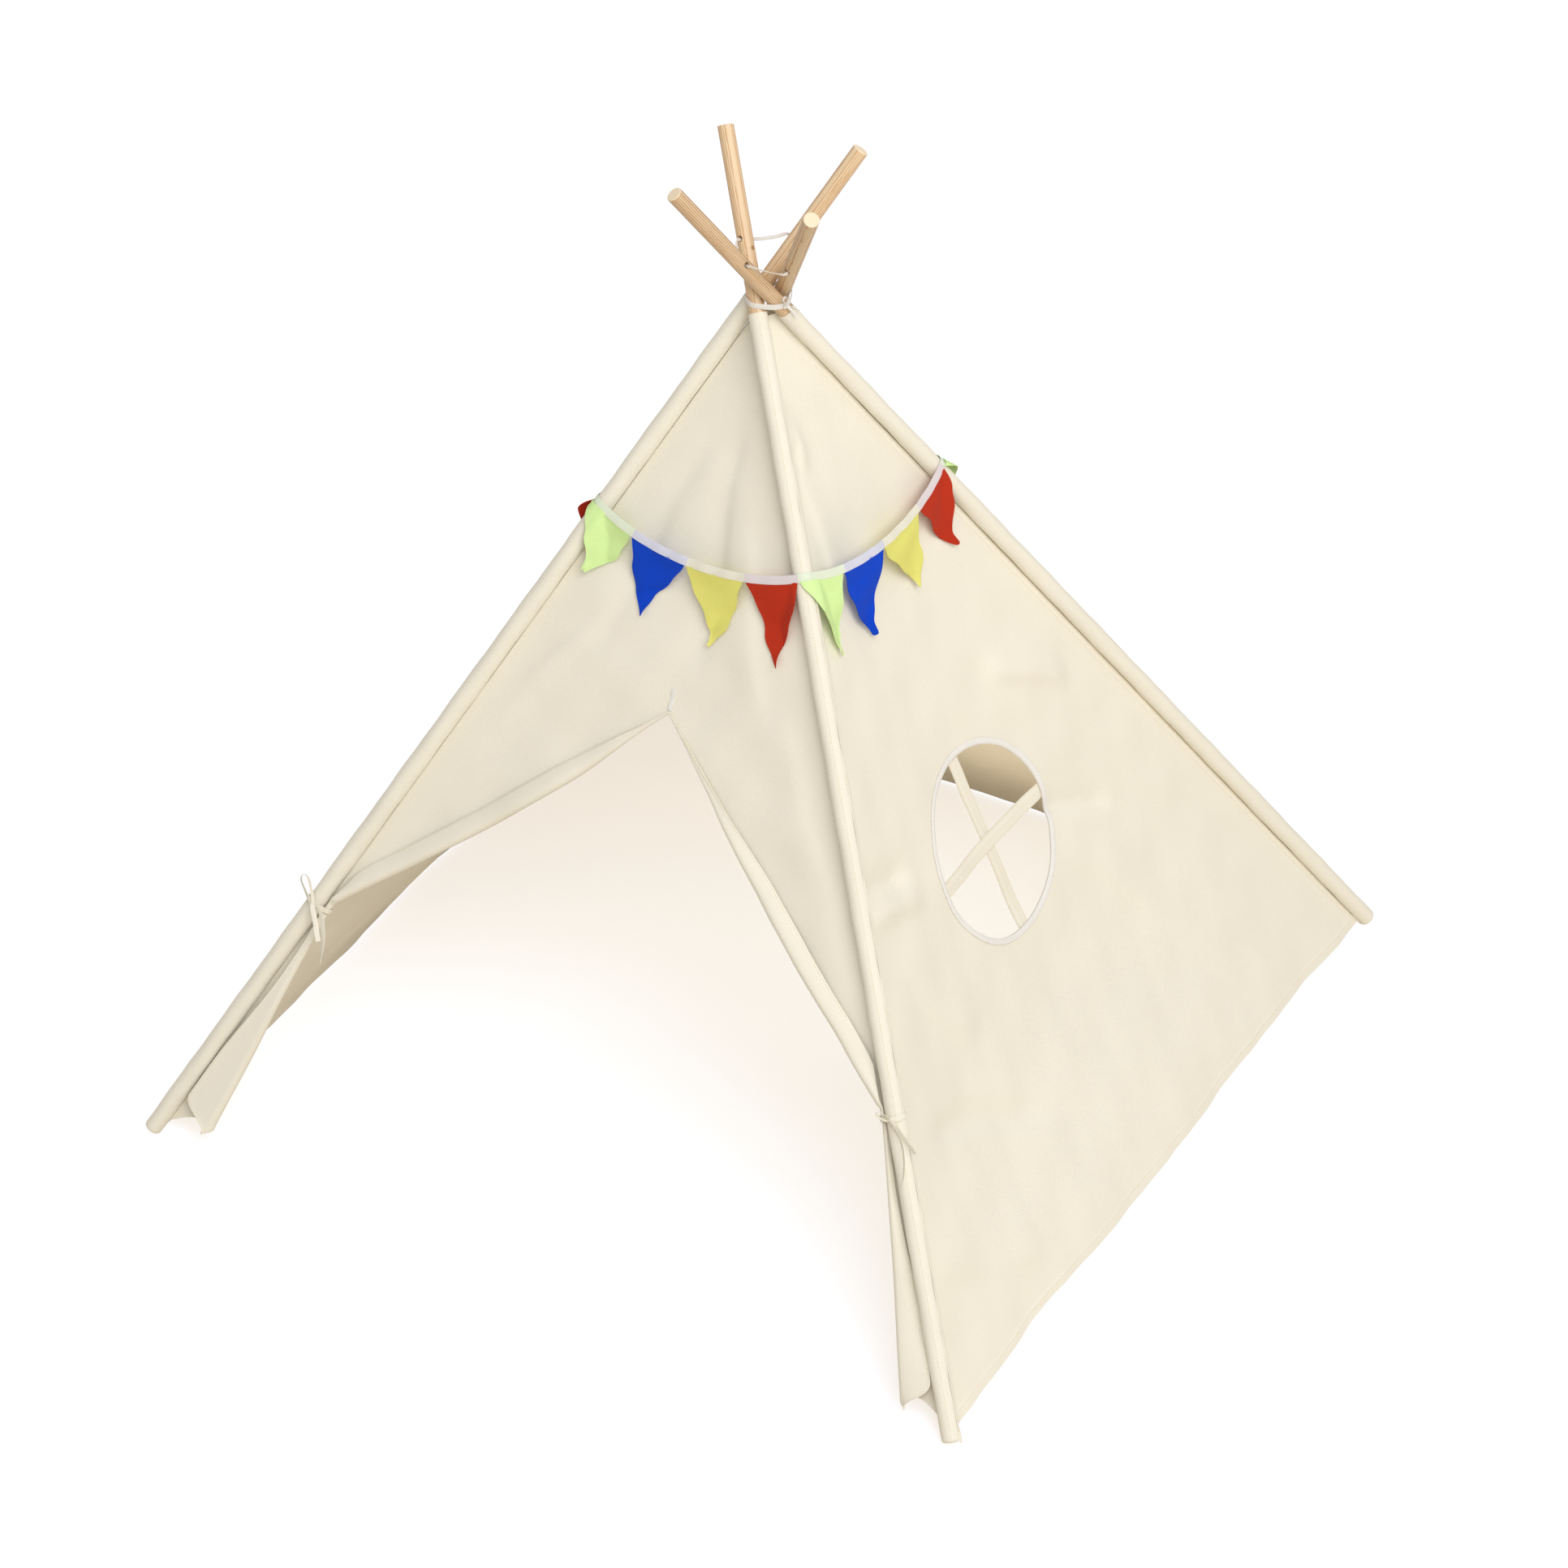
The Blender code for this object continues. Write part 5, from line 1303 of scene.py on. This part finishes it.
def oval(x, y, long, short, turn, count):
    """Points of an ellipse round a place."""
    found = []
    for angle in circle(count):
        a, b = long * math.cos(angle), short * math.sin(angle)
        found.append((x + a * math.cos(turn) - b * math.sin(turn),
                      y + a * math.sin(turn) + b * math.cos(turn)))
    return found


def outline_of(points):
    """The convex outline of flat points, in order round it."""
    ordered = sorted(set(points))

    def half(found_order):
        chain = []
        for x, y in found_order:
            while len(chain) > 1:
                (ax, ay), (bx, by) = chain[-2:]
                if (bx - ax) * (y - ay) - (by - ay) * (x - ax) > 0:
                    break
                chain.pop()
            chain.append((x, y))
        return chain[:-1]

    return half(ordered) + half(ordered[::-1])


def make_knot(name, centre, along, facing, size, finish):
    """A small tight knot: a tape wound twice round itself, each turn a little aslant."""
    aside = np.cross(along, facing)
    turns = np.linspace(0, 4 * math.pi, 72)
    spread = np.linspace(-0.34, 0.34, 72) + 0.10 * np.sin(turns * 1.5)
    coil = np.stack([np.cos(turns) * 0.62, np.sin(turns) * 0.36, spread], -1) * size
    path = centre + combine(coil, aside, facing, along)
    outward = combine(np.stack([np.cos(turns), np.sin(turns)], -1), aside, facing)
    return ribbon(name, path, np.cross(np.gradient(path, axis=0), outward), size * 0.62,
                  KNOT_THICKNESS, finish)


def make_strand(name, rows, knot_at, ways, width_at, finish):
    """A strand of a bow: the tape turns from the first direction to the third."""
    rows = np.array(rows, float)
    path = knot_at + combine(curve_through(rows[:, :3] / 1000), *ways)
    twist = curve_through(np.radians(rows[:, 3]))
    wide = combine(np.stack([np.cos(twist), np.sin(twist)], -1), ways[0], ways[2])
    widths = width_at(np.linspace(0, 1, len(path)))
    return ribbon(name, path, wide, widths, STRAND_THICKNESS, finish)


def make_tie_back(side):
    """A narrow canvas tape round the sleeve and the flap, knotted on the outside."""
    word, leg = SIDES[side], leg_of(0, side)
    pole, inward, outward = side_frame(0, side)
    _, other_in, other_out = side_frame((3, 1)[side], 1 - side)
    seam = other_in * BESIDE_SLEEVE - other_out * WALL_INSET
    seam_angle = math.atan2(seam @ outward, seam @ inward)
    origin = pole.up(TIE_UP_POLE)
    bundle = GATHER_RADIUS + CANVAS
    spots = outline_of(oval(0, 0, SLEEVE_RADIUS, SLEEVE_RADIUS, 0, 48)
                       + oval(BESIDE_SLEEVE + 0.0063, GATHER_RADIUS - WALL_INSET, bundle, bundle, 0, 48))
    # The loop starts and ends beside the seam of the next wall
    turned = sorted(((math.atan2(y, x) - seam_angle) % (2 * math.pi), x, y) for x, y in spots)
    flat = np.array([(x, y) for turn, x, y in turned if SEAM_ROOM < turn < 2 * math.pi - SEAM_ROOM])
    out = np.gradient(flat, axis=0)[:, ::-1] * (1, -1)
    flat = flat + unit(out) * np.sign(np.sum(out * flat, -1, keepdims=True)) * 0.0007
    rise = 0.0012 * np.sin(np.linspace(0, 3 * math.pi, len(flat)))
    path = origin + combine(np.column_stack([flat, rise]), inward, outward, pole.along)
    loop = ribbon(f"{word}_tie_loop_tape", path, pole.along, TIE_BACK_WIDTH, TAPE_THICKNESS, canvas())
    carry(loop, leg, "canvas", f"{word}_tie_back_loop")
    facing = unit(outward + inward * 0.35)
    reach = max(x * (facing @ inward) + y * (facing @ outward) for x, y in spots)
    aside = np.cross(facing, pole.along) * (1, -1)[side]
    knot_at = origin + facing * (reach + 0.0020) + aside * 0.0028
    knot = make_knot(f"{word}_tie_knot_tape", knot_at, pole.along, facing, 0.0052, canvas())
    carry(knot, leg, "canvas", f"{word}_tie_back_knot")
    for part, rows in BOWS[word].items():

        def width_at(share):
            """The tape is pinched at the knot, and the long tail is narrow at its end."""
            pinch = smooth(share / 0.12) * (smooth((1 - share) / 0.12) if part == "loop" else 1)
            tip = 0.55 * smooth((share - 0.8) / 0.2) if part == "long_tail" else 0
            return (0.0030 + 0.0032 * pinch) * (1 - tip)

        ways = (BOW_RIGHT, BOW_UP, BOW_BACK)
        strand = make_strand(f"{word}_bow_{part}", rows, knot_at, ways, width_at, canvas())
        carry(strand, leg, "canvas", f"{word}_tie_back_bow")


class TEEPEE_OT_tie_backs(bpy.types.Operator):
    """Tie each door flap back to its pole"""

    bl_idname = "teepee.tie_backs"
    bl_label = "Tie-backs"

    def execute(self, context):
        for side in (0, 1):
            make_tie_back(side)
        return {"FINISHED"}


def make_top_tie():
    """The white tape round all four poles above the sleeves, with a small bow towards the window wall."""
    low = SLEEVE_TOP * POLE_RISE + SLEEVE_RADIUS * math.sin(POLE_TILT) + 0.0030
    spots = []
    for height in (low, low + 0.007):
        for pole in map(Pole, range(4)):
            x, y, _ = pole.up(height / POLE_RISE)
            turn = math.atan2(pole.level[1], pole.level[0])
            spots += oval(x, y, POLE_RADIUS / POLE_RISE, POLE_RADIUS, turn, 32)
    loop = outline_of(spots)
    ring = np.array([*loop, loop[0]])
    run = run_along(ring)
    flat = sample(np.linspace(0, run[-1], 120, endpoint=False), run, ring)
    flat = flat * (1 + 0.0009 / np.linalg.norm(flat, axis=-1, keepdims=True))
    level = low + 0.0035 + 0.0006 * np.sin(2 * circle(120))
    path = np.column_stack([flat, level])
    tie = ribbon("top_tie_tape", path, UP, TOP_TIE_WIDTH, TAPE_THICKNESS, tape(), closed=True)
    carry(tie, "crown", "white_tape", "top_tie_loop")
    heading = math.radians(-20)
    out = np.array((math.cos(heading), math.sin(heading), 0))
    reach = max(x * out[0] + y * out[1] for x, y in spots)
    centre = UP * (low + 0.0035) + out * (reach + 0.0022)
    knot = make_knot("top_knot_tape", centre, UP, out, 0.0050, tape())
    carry(knot, "crown", "white_tape", "top_tie_knot")
    for part, rows in BOWS["top"].items():
        strand = make_strand(f"top_bow_{part}", rows, centre, (np.cross(UP, out), UP, out),
                             lambda share: 0.0022 + 0.0010 * smooth(share / 0.15), tape())
        carry(strand, "crown", "white_tape", "top_tie_bow")


def in_hole(turns):
    """Where the threaded tape rests in a pole's hole, and the direction in which it is drilled."""
    pole = Pole(turns)
    way = pole.across * math.cos(HOLE_TURN) + np.cross(pole.along, pole.across) * math.sin(HOLE_TURN)
    rest = 0.004 - 0.0018 - 0.0006
    return pole.up(POLE_TOP - HOLE_FROM_TOP) - unit(UP - way * way[2]) * rest, way


def make_threading_tape():
    """The flat tape that runs through the poles' holes in a ring, twisted between them."""
    middles, turns = [], []
    for count in range(4):
        (hole, way), (ahead, next_way) = in_hole(count), in_hole(count + 1)
        leave = hole + way * (POLE_RADIUS + 0.0036)
        arrive = ahead - next_way * (POLE_RADIUS + 0.0036)
        middles += [hole - way * 0.005, hole + way * 0.005, leave]
        middles += [blend_to(leave, arrive, share) - UP * 0.0016 for share in (0.3, 0.7)] + [arrive]
        turns += [8, 8, 14, 40, 52, 16]
    path = curve_through(middles + middles[:1])[:-1]
    angle = np.radians(curve_through(turns + turns[:1])[:-1, None])
    ahead = unit(np.roll(path, -1, 0) - np.roll(path, 1, 0))
    side = unit(np.cross(ahead, UP))
    wide = np.cross(side, ahead) * np.cos(angle) + side * np.sin(angle)
    # The tape is pinched where it passes through a hole
    width = np.tile(np.repeat((0.0036, 0.0046), (14, 22)), 4)
    piece = ribbon("threading_tape_woven", path, wide, width, TAPE_THICKNESS, tape(), closed=True)
    carry(piece, "crown", "white_tape", "threading_tape")


class TEEPEE_OT_crown(bpy.types.Operator):
    """Tie the poles together at the top"""

    bl_idname = "teepee.crown"
    bl_label = "Crown tapes"

    def execute(self, context):
        make_top_tie()
        make_threading_tape()
        return {"FINISHED"}


# ---- bunting
# How far the tape drops in the middle of a wall, and how far it lies off the poles' axes
SPAN_DROP = 0.029
STAND_OFF = SLEEVE_RADIUS + 0.0011
TAPE_WIDTH = 0.0105
# A pennant's length below the tape's edge, its tip's width and its cloth
FLAG_LENGTH = 0.096
FLAG_TIP = 0.0034
FLAG_THICKNESS = 0.0006

# How far the pennants' tips hang to the side and up from the plain curve, in metres, wall by wall
TIP_SHIFTS = (
    ((0.0057, 0.021), (-0.0074, 0.011), (-0.004, 0.006), (-0.004, -0.006)),
    ((0.0277, -0.001), (-0.001, 0.001), (0.0105, 0.009), (0.001, 0.004)),
    ((0.012, 0.002), (-0.003, 0.003), (0.006, 0.004), (-0.003, 0.0)),
    ((0.006, 0.002), (0.008, 0.004), (-0.004, 0.0), (0.004, 0.004)),
)

# Pennants that stand away from the cloth beside a sleeve: how far, and at which edge
FLARES = {(3, 3): (0.012, 1.0), (2, 0): (0.006, 0.0)}

# The white tape is thin, so that each pennant's dye shows through it a little
TAPE_TINTS = {"green": "#E9F3DC", "blue": "#DCDEEF", "yellow": "#EFECDC", "red": "#E8DEE2"}

# How much tape lies over a wall, and passes round a sleeve from one wall to the next
SPAN = wall_width(0, BUNTING_UP_POLE)
TURN = STAND_OFF * math.acos(side_frame(3, 1)[2] @ side_frame(0, 0)[2])


def bunting_up(share):
    return BUNTING_UP_POLE - SPAN_DROP / SLOPE_SHARE * 4 * share * (1 - share)


def bunting_line(wall, share):
    return place(wall, share, bunting_up(share), STAND_OFF)


def place_round(wall, x, up, lift):
    """A point off a wall at a flat place, led round the left sleeve where it lies beyond that pole."""
    width = wall_width(wall, up)
    turn = np.maximum(-x - width / 2, 0) / STAND_OFF
    straight = place(wall, np.maximum(0.5 + x / width, 0), up, lift)
    _, inward, outward = side_frame(wall, 0)
    way = combine(np.stack([-np.sin(turn), np.cos(turn) - 1], -1), inward, outward)
    return straight + way * lift[..., None]


def flat_tape(wall, run):
    """The flat place of the tape at a distance along it from where the wall before it ends."""
    share = np.clip((run - TURN) / SPAN, 0, 1)
    up = bunting_up(share)
    x = (share - 0.5) * wall_width(wall, up) - np.maximum(TURN - run, 0)
    return np.stack([x, up * SLOPE_SHARE], -1)


def cloth_reach(wall, x, up):
    """How far out the wall or a sleeve reaches from the pole axes, at a flat place."""
    width = wall_width(wall, up)
    beside = np.maximum(np.abs(width / 2 - np.abs(x)) - SLEEVE_RADIUS, 0)
    reach = wall_lift(wall, np.clip(0.5 + x / width, 0, 1), up) + CANVAS
    lap = np.where(x < 0, 0.0015 - beside * 0.05, 0)
    return np.maximum(reach, SLEEVE_RADIUS + lap - beside * 0.50)


def make_flag(wall, index, colour):
    """A pennant sewn to the tape: wavy sides, a curled narrow tip, and a belly that stands off the wall."""
    pitch = (TURN + SPAN) / 4
    start, end = flat_tape(wall, index * pitch), flat_tape(wall, (index + 1) * pitch)
    ahead = unit(end - start)
    length = np.linalg.norm(end - start)
    down, across = np.linspace(0, 1, 34)[:, None], np.linspace(0, 1, 19)
    tops = flat_tape(wall, (index + across) * pitch)
    off_middle = (tops - start) @ ahead - length / 2
    # Each side runs in to the tip, faster at the end; the flat place sways, more towards the tip
    run_in = (1 - down**1.15) * (1 - 0.45 * smooth((down - 0.7) / 0.3))
    shrink = blend_to(1 - 0.0020 / length, FLAG_TIP / length, 1 - run_in)
    seed = index * 1.3 + wall * 2.1
    hem = np.sign(across - 0.5) * np.abs(across * 2 - 1)
    tip_aside, tip_up = TIP_SHIFTS[wall][index]
    sway = (FLAG_LENGTH * 0.09 * np.sin(math.pi * (1.4 * down + 0.8 * index)) * down
            + 0.0016 * np.sin(down * 15 + seed) * np.sin(math.pi * down) * hem + tip_aside * down**1.5)
    drop = TAPE_WIDTH / 2 - 0.0012 + (FLAG_LENGTH + 0.0012 - tip_up) * down + 0 * across
    moved = np.stack([sway - off_middle * (1 - shrink), drop], -1)
    flat = tops + combine(moved, ahead, (ahead[1], -ahead[0]))
    x, up = flat[..., 0], flat[..., 1] / SLOPE_SHARE
    # It hangs plumb from the tape, nowhere closer to the cloth than its own thickness
    hang = STAND_OFF - 0.0005 - FLAG_LENGTH * down * (BASE_SIDE / 2 / SLOPE_LENGTH) * 0.72
    belly = (0.0030 * np.sin(math.pi * down) * np.sin(math.pi * across + seed)
             + 0.0020 * np.sin(down * 7 + across * 4 + seed))
    curl = 0.006 * smooth((down - 0.8) / 0.2) * (0.3 + (across if index % 2 else 1 - across))
    clear = cloth_reach(wall, x, up) + 0.0010 + 0.0012 * smooth(down * 3)
    lift = np.maximum(hang + belly * smooth(down * 4), clear)
    flare, at_edge = FLARES.get((wall, index), (0.0, 0.0))
    lift = lift + curl * 0.7 + (flare * np.sin(math.pi * np.clip(down / 0.6, 0, 1))
                                * smooth(1 - np.abs(across - at_edge) * 1.2))
    points = place_round(wall, x, up, lift)
    uv = np.stack([across * length + 0 * down, down * FLAG_LENGTH + 0 * across], -1) + np.array((wall, index))
    doubled = np.zeros(x.shape)
    doubled[:2] = 0.8
    doubled[:, [0, -1]] = 0.35
    name = f"{WALL_NAMES[wall]}_{colour}_pennant"
    finish = finish_of(colour, dyed_finish, colour)
    flag = sew_sheet(name, [(points, uv, doubled)], FLAG_THICKNESS, finish)
    side = index // 2
    carry(flag, leg_of(wall, side), f"{colour}_cotton", f"flag_{WALL_NAMES[wall]}_{colour}")
    gathers(flag, wall, side)


def bunting_tape(name, path, wide, runs, leg, *nodes):
    """A stretch of tape, which takes its tint from the pennants sewn under it."""
    piece = ribbon(name, path, wide, TAPE_WIDTH, TAPE_THICKNESS, tape())
    piece.data.materials.clear()
    for colour in FLAG_ORDER:
        name = f"tape_over_{colour}"
        piece.data.materials.append(finish_of(name, tape_finish, name, linear(TAPE_TINTS[colour])))
    for face in piece.data.polygons:
        row = min(face.index // len(TAPE_SECTION), len(runs) - 1)
        face.material_index = min(int(runs[row] / (TURN + SPAN) * 4), 3)
    return carry(piece, leg, "white_tape", *nodes)


def make_bunting(wall):
    """The tape over one wall in two halves, which meet in its middle, and round its left sleeve."""
    for side, word in enumerate(SIDES):
        share = np.linspace(side / 2, (side + 1) / 2, 60)
        path = bunting_line(wall, share)
        out = outward_at(wall, share, bunting_up(share))
        wide = np.cross(out, np.gradient(path, axis=0))
        flutter = 0.0006 * np.sin(share * 60 + wall) * np.sin(math.pi * share)
        half = bunting_tape(f"{WALL_NAMES[wall]}_bunting_{word}", path + out * flutter[:, None], wide,
                            TURN + share * SPAN, leg_of(wall, side), f"bunting_tape_{WALL_NAMES[wall]}")
        gathers(half, wall, side)
    pole, _, first = side_frame((wall - 1) % 4, 1)
    share = np.linspace(0, 1, 14)
    ways = unit(blend_to(first, side_frame(wall, 0)[2], share[:, None]))
    path = pole.up(BUNTING_UP_POLE) + ways * STAND_OFF
    path[0], path[-1] = bunting_line((wall - 1) % 4, 1.0), bunting_line(wall, 0.0)
    bunting_tape(f"{LEG_NAMES[wall]}_bunting_turn", path, pole.along, share * TURN, leg_of(wall, 0))


class TEEPEE_OT_bunting(bpy.types.Operator):
    """Hang the four spans of bunting and their sixteen pennants"""

    bl_idname = "teepee.bunting"
    bl_label = "Bunting"

    def execute(self, context):
        for wall in range(4):
            make_bunting(wall)
            for index, colour in enumerate(FLAG_ORDER):
                make_flag(wall, index, colour)
        return {"FINISHED"}


# ---- the add-on
class TEEPEE_PT_panel(bpy.types.Panel):
    """The teepee's pieces in the order in which they are made"""

    bl_idname = "TEEPEE_PT_panel"
    bl_label = "Kids Teepee"
    bl_space_type = "VIEW_3D"
    bl_region_type = "UI"
    bl_category = "Teepee"

    def draw(self, context):
        for operator in OPERATORS:
            self.layout.operator(operator.bl_idname)
        for group in (context.scene.teepee_sizes, context.scene.teepee_colours):
            for name in group.__annotations__:
                self.layout.prop(group, name)


OPERATORS = (TEEPEE_OT_stage, TEEPEE_OT_poles, TEEPEE_OT_sleeves, TEEPEE_OT_walls, TEEPEE_OT_front_wall,
             TEEPEE_OT_door_tails, TEEPEE_OT_window, TEEPEE_OT_tie_backs, TEEPEE_OT_crown, TEEPEE_OT_bunting)
CLASSES = (TeepeeSizes, TeepeeColours, *OPERATORS, TEEPEE_PT_panel)


def register():
    for kind in CLASSES:
        bpy.utils.register_class(kind)
    bpy.types.Scene.teepee_sizes = bpy.props.PointerProperty(type=TeepeeSizes)
    bpy.types.Scene.teepee_colours = bpy.props.PointerProperty(type=TeepeeColours)


def unregister():
    del bpy.types.Scene.teepee_colours
    del bpy.types.Scene.teepee_sizes
    for kind in reversed(CLASSES):
        bpy.utils.unregister_class(kind)


def main():
    register()
    bpy.ops.teepee.stage()
    bpy.ops.teepee.poles()
    bpy.ops.teepee.sleeves()
    bpy.ops.teepee.walls()
    bpy.ops.teepee.front_wall()
    bpy.ops.teepee.door_tails()
    bpy.ops.teepee.window()
    bpy.ops.teepee.tie_backs()
    bpy.ops.teepee.crown()
    bpy.ops.teepee.bunting()


if __name__ == "__main__":
    main()
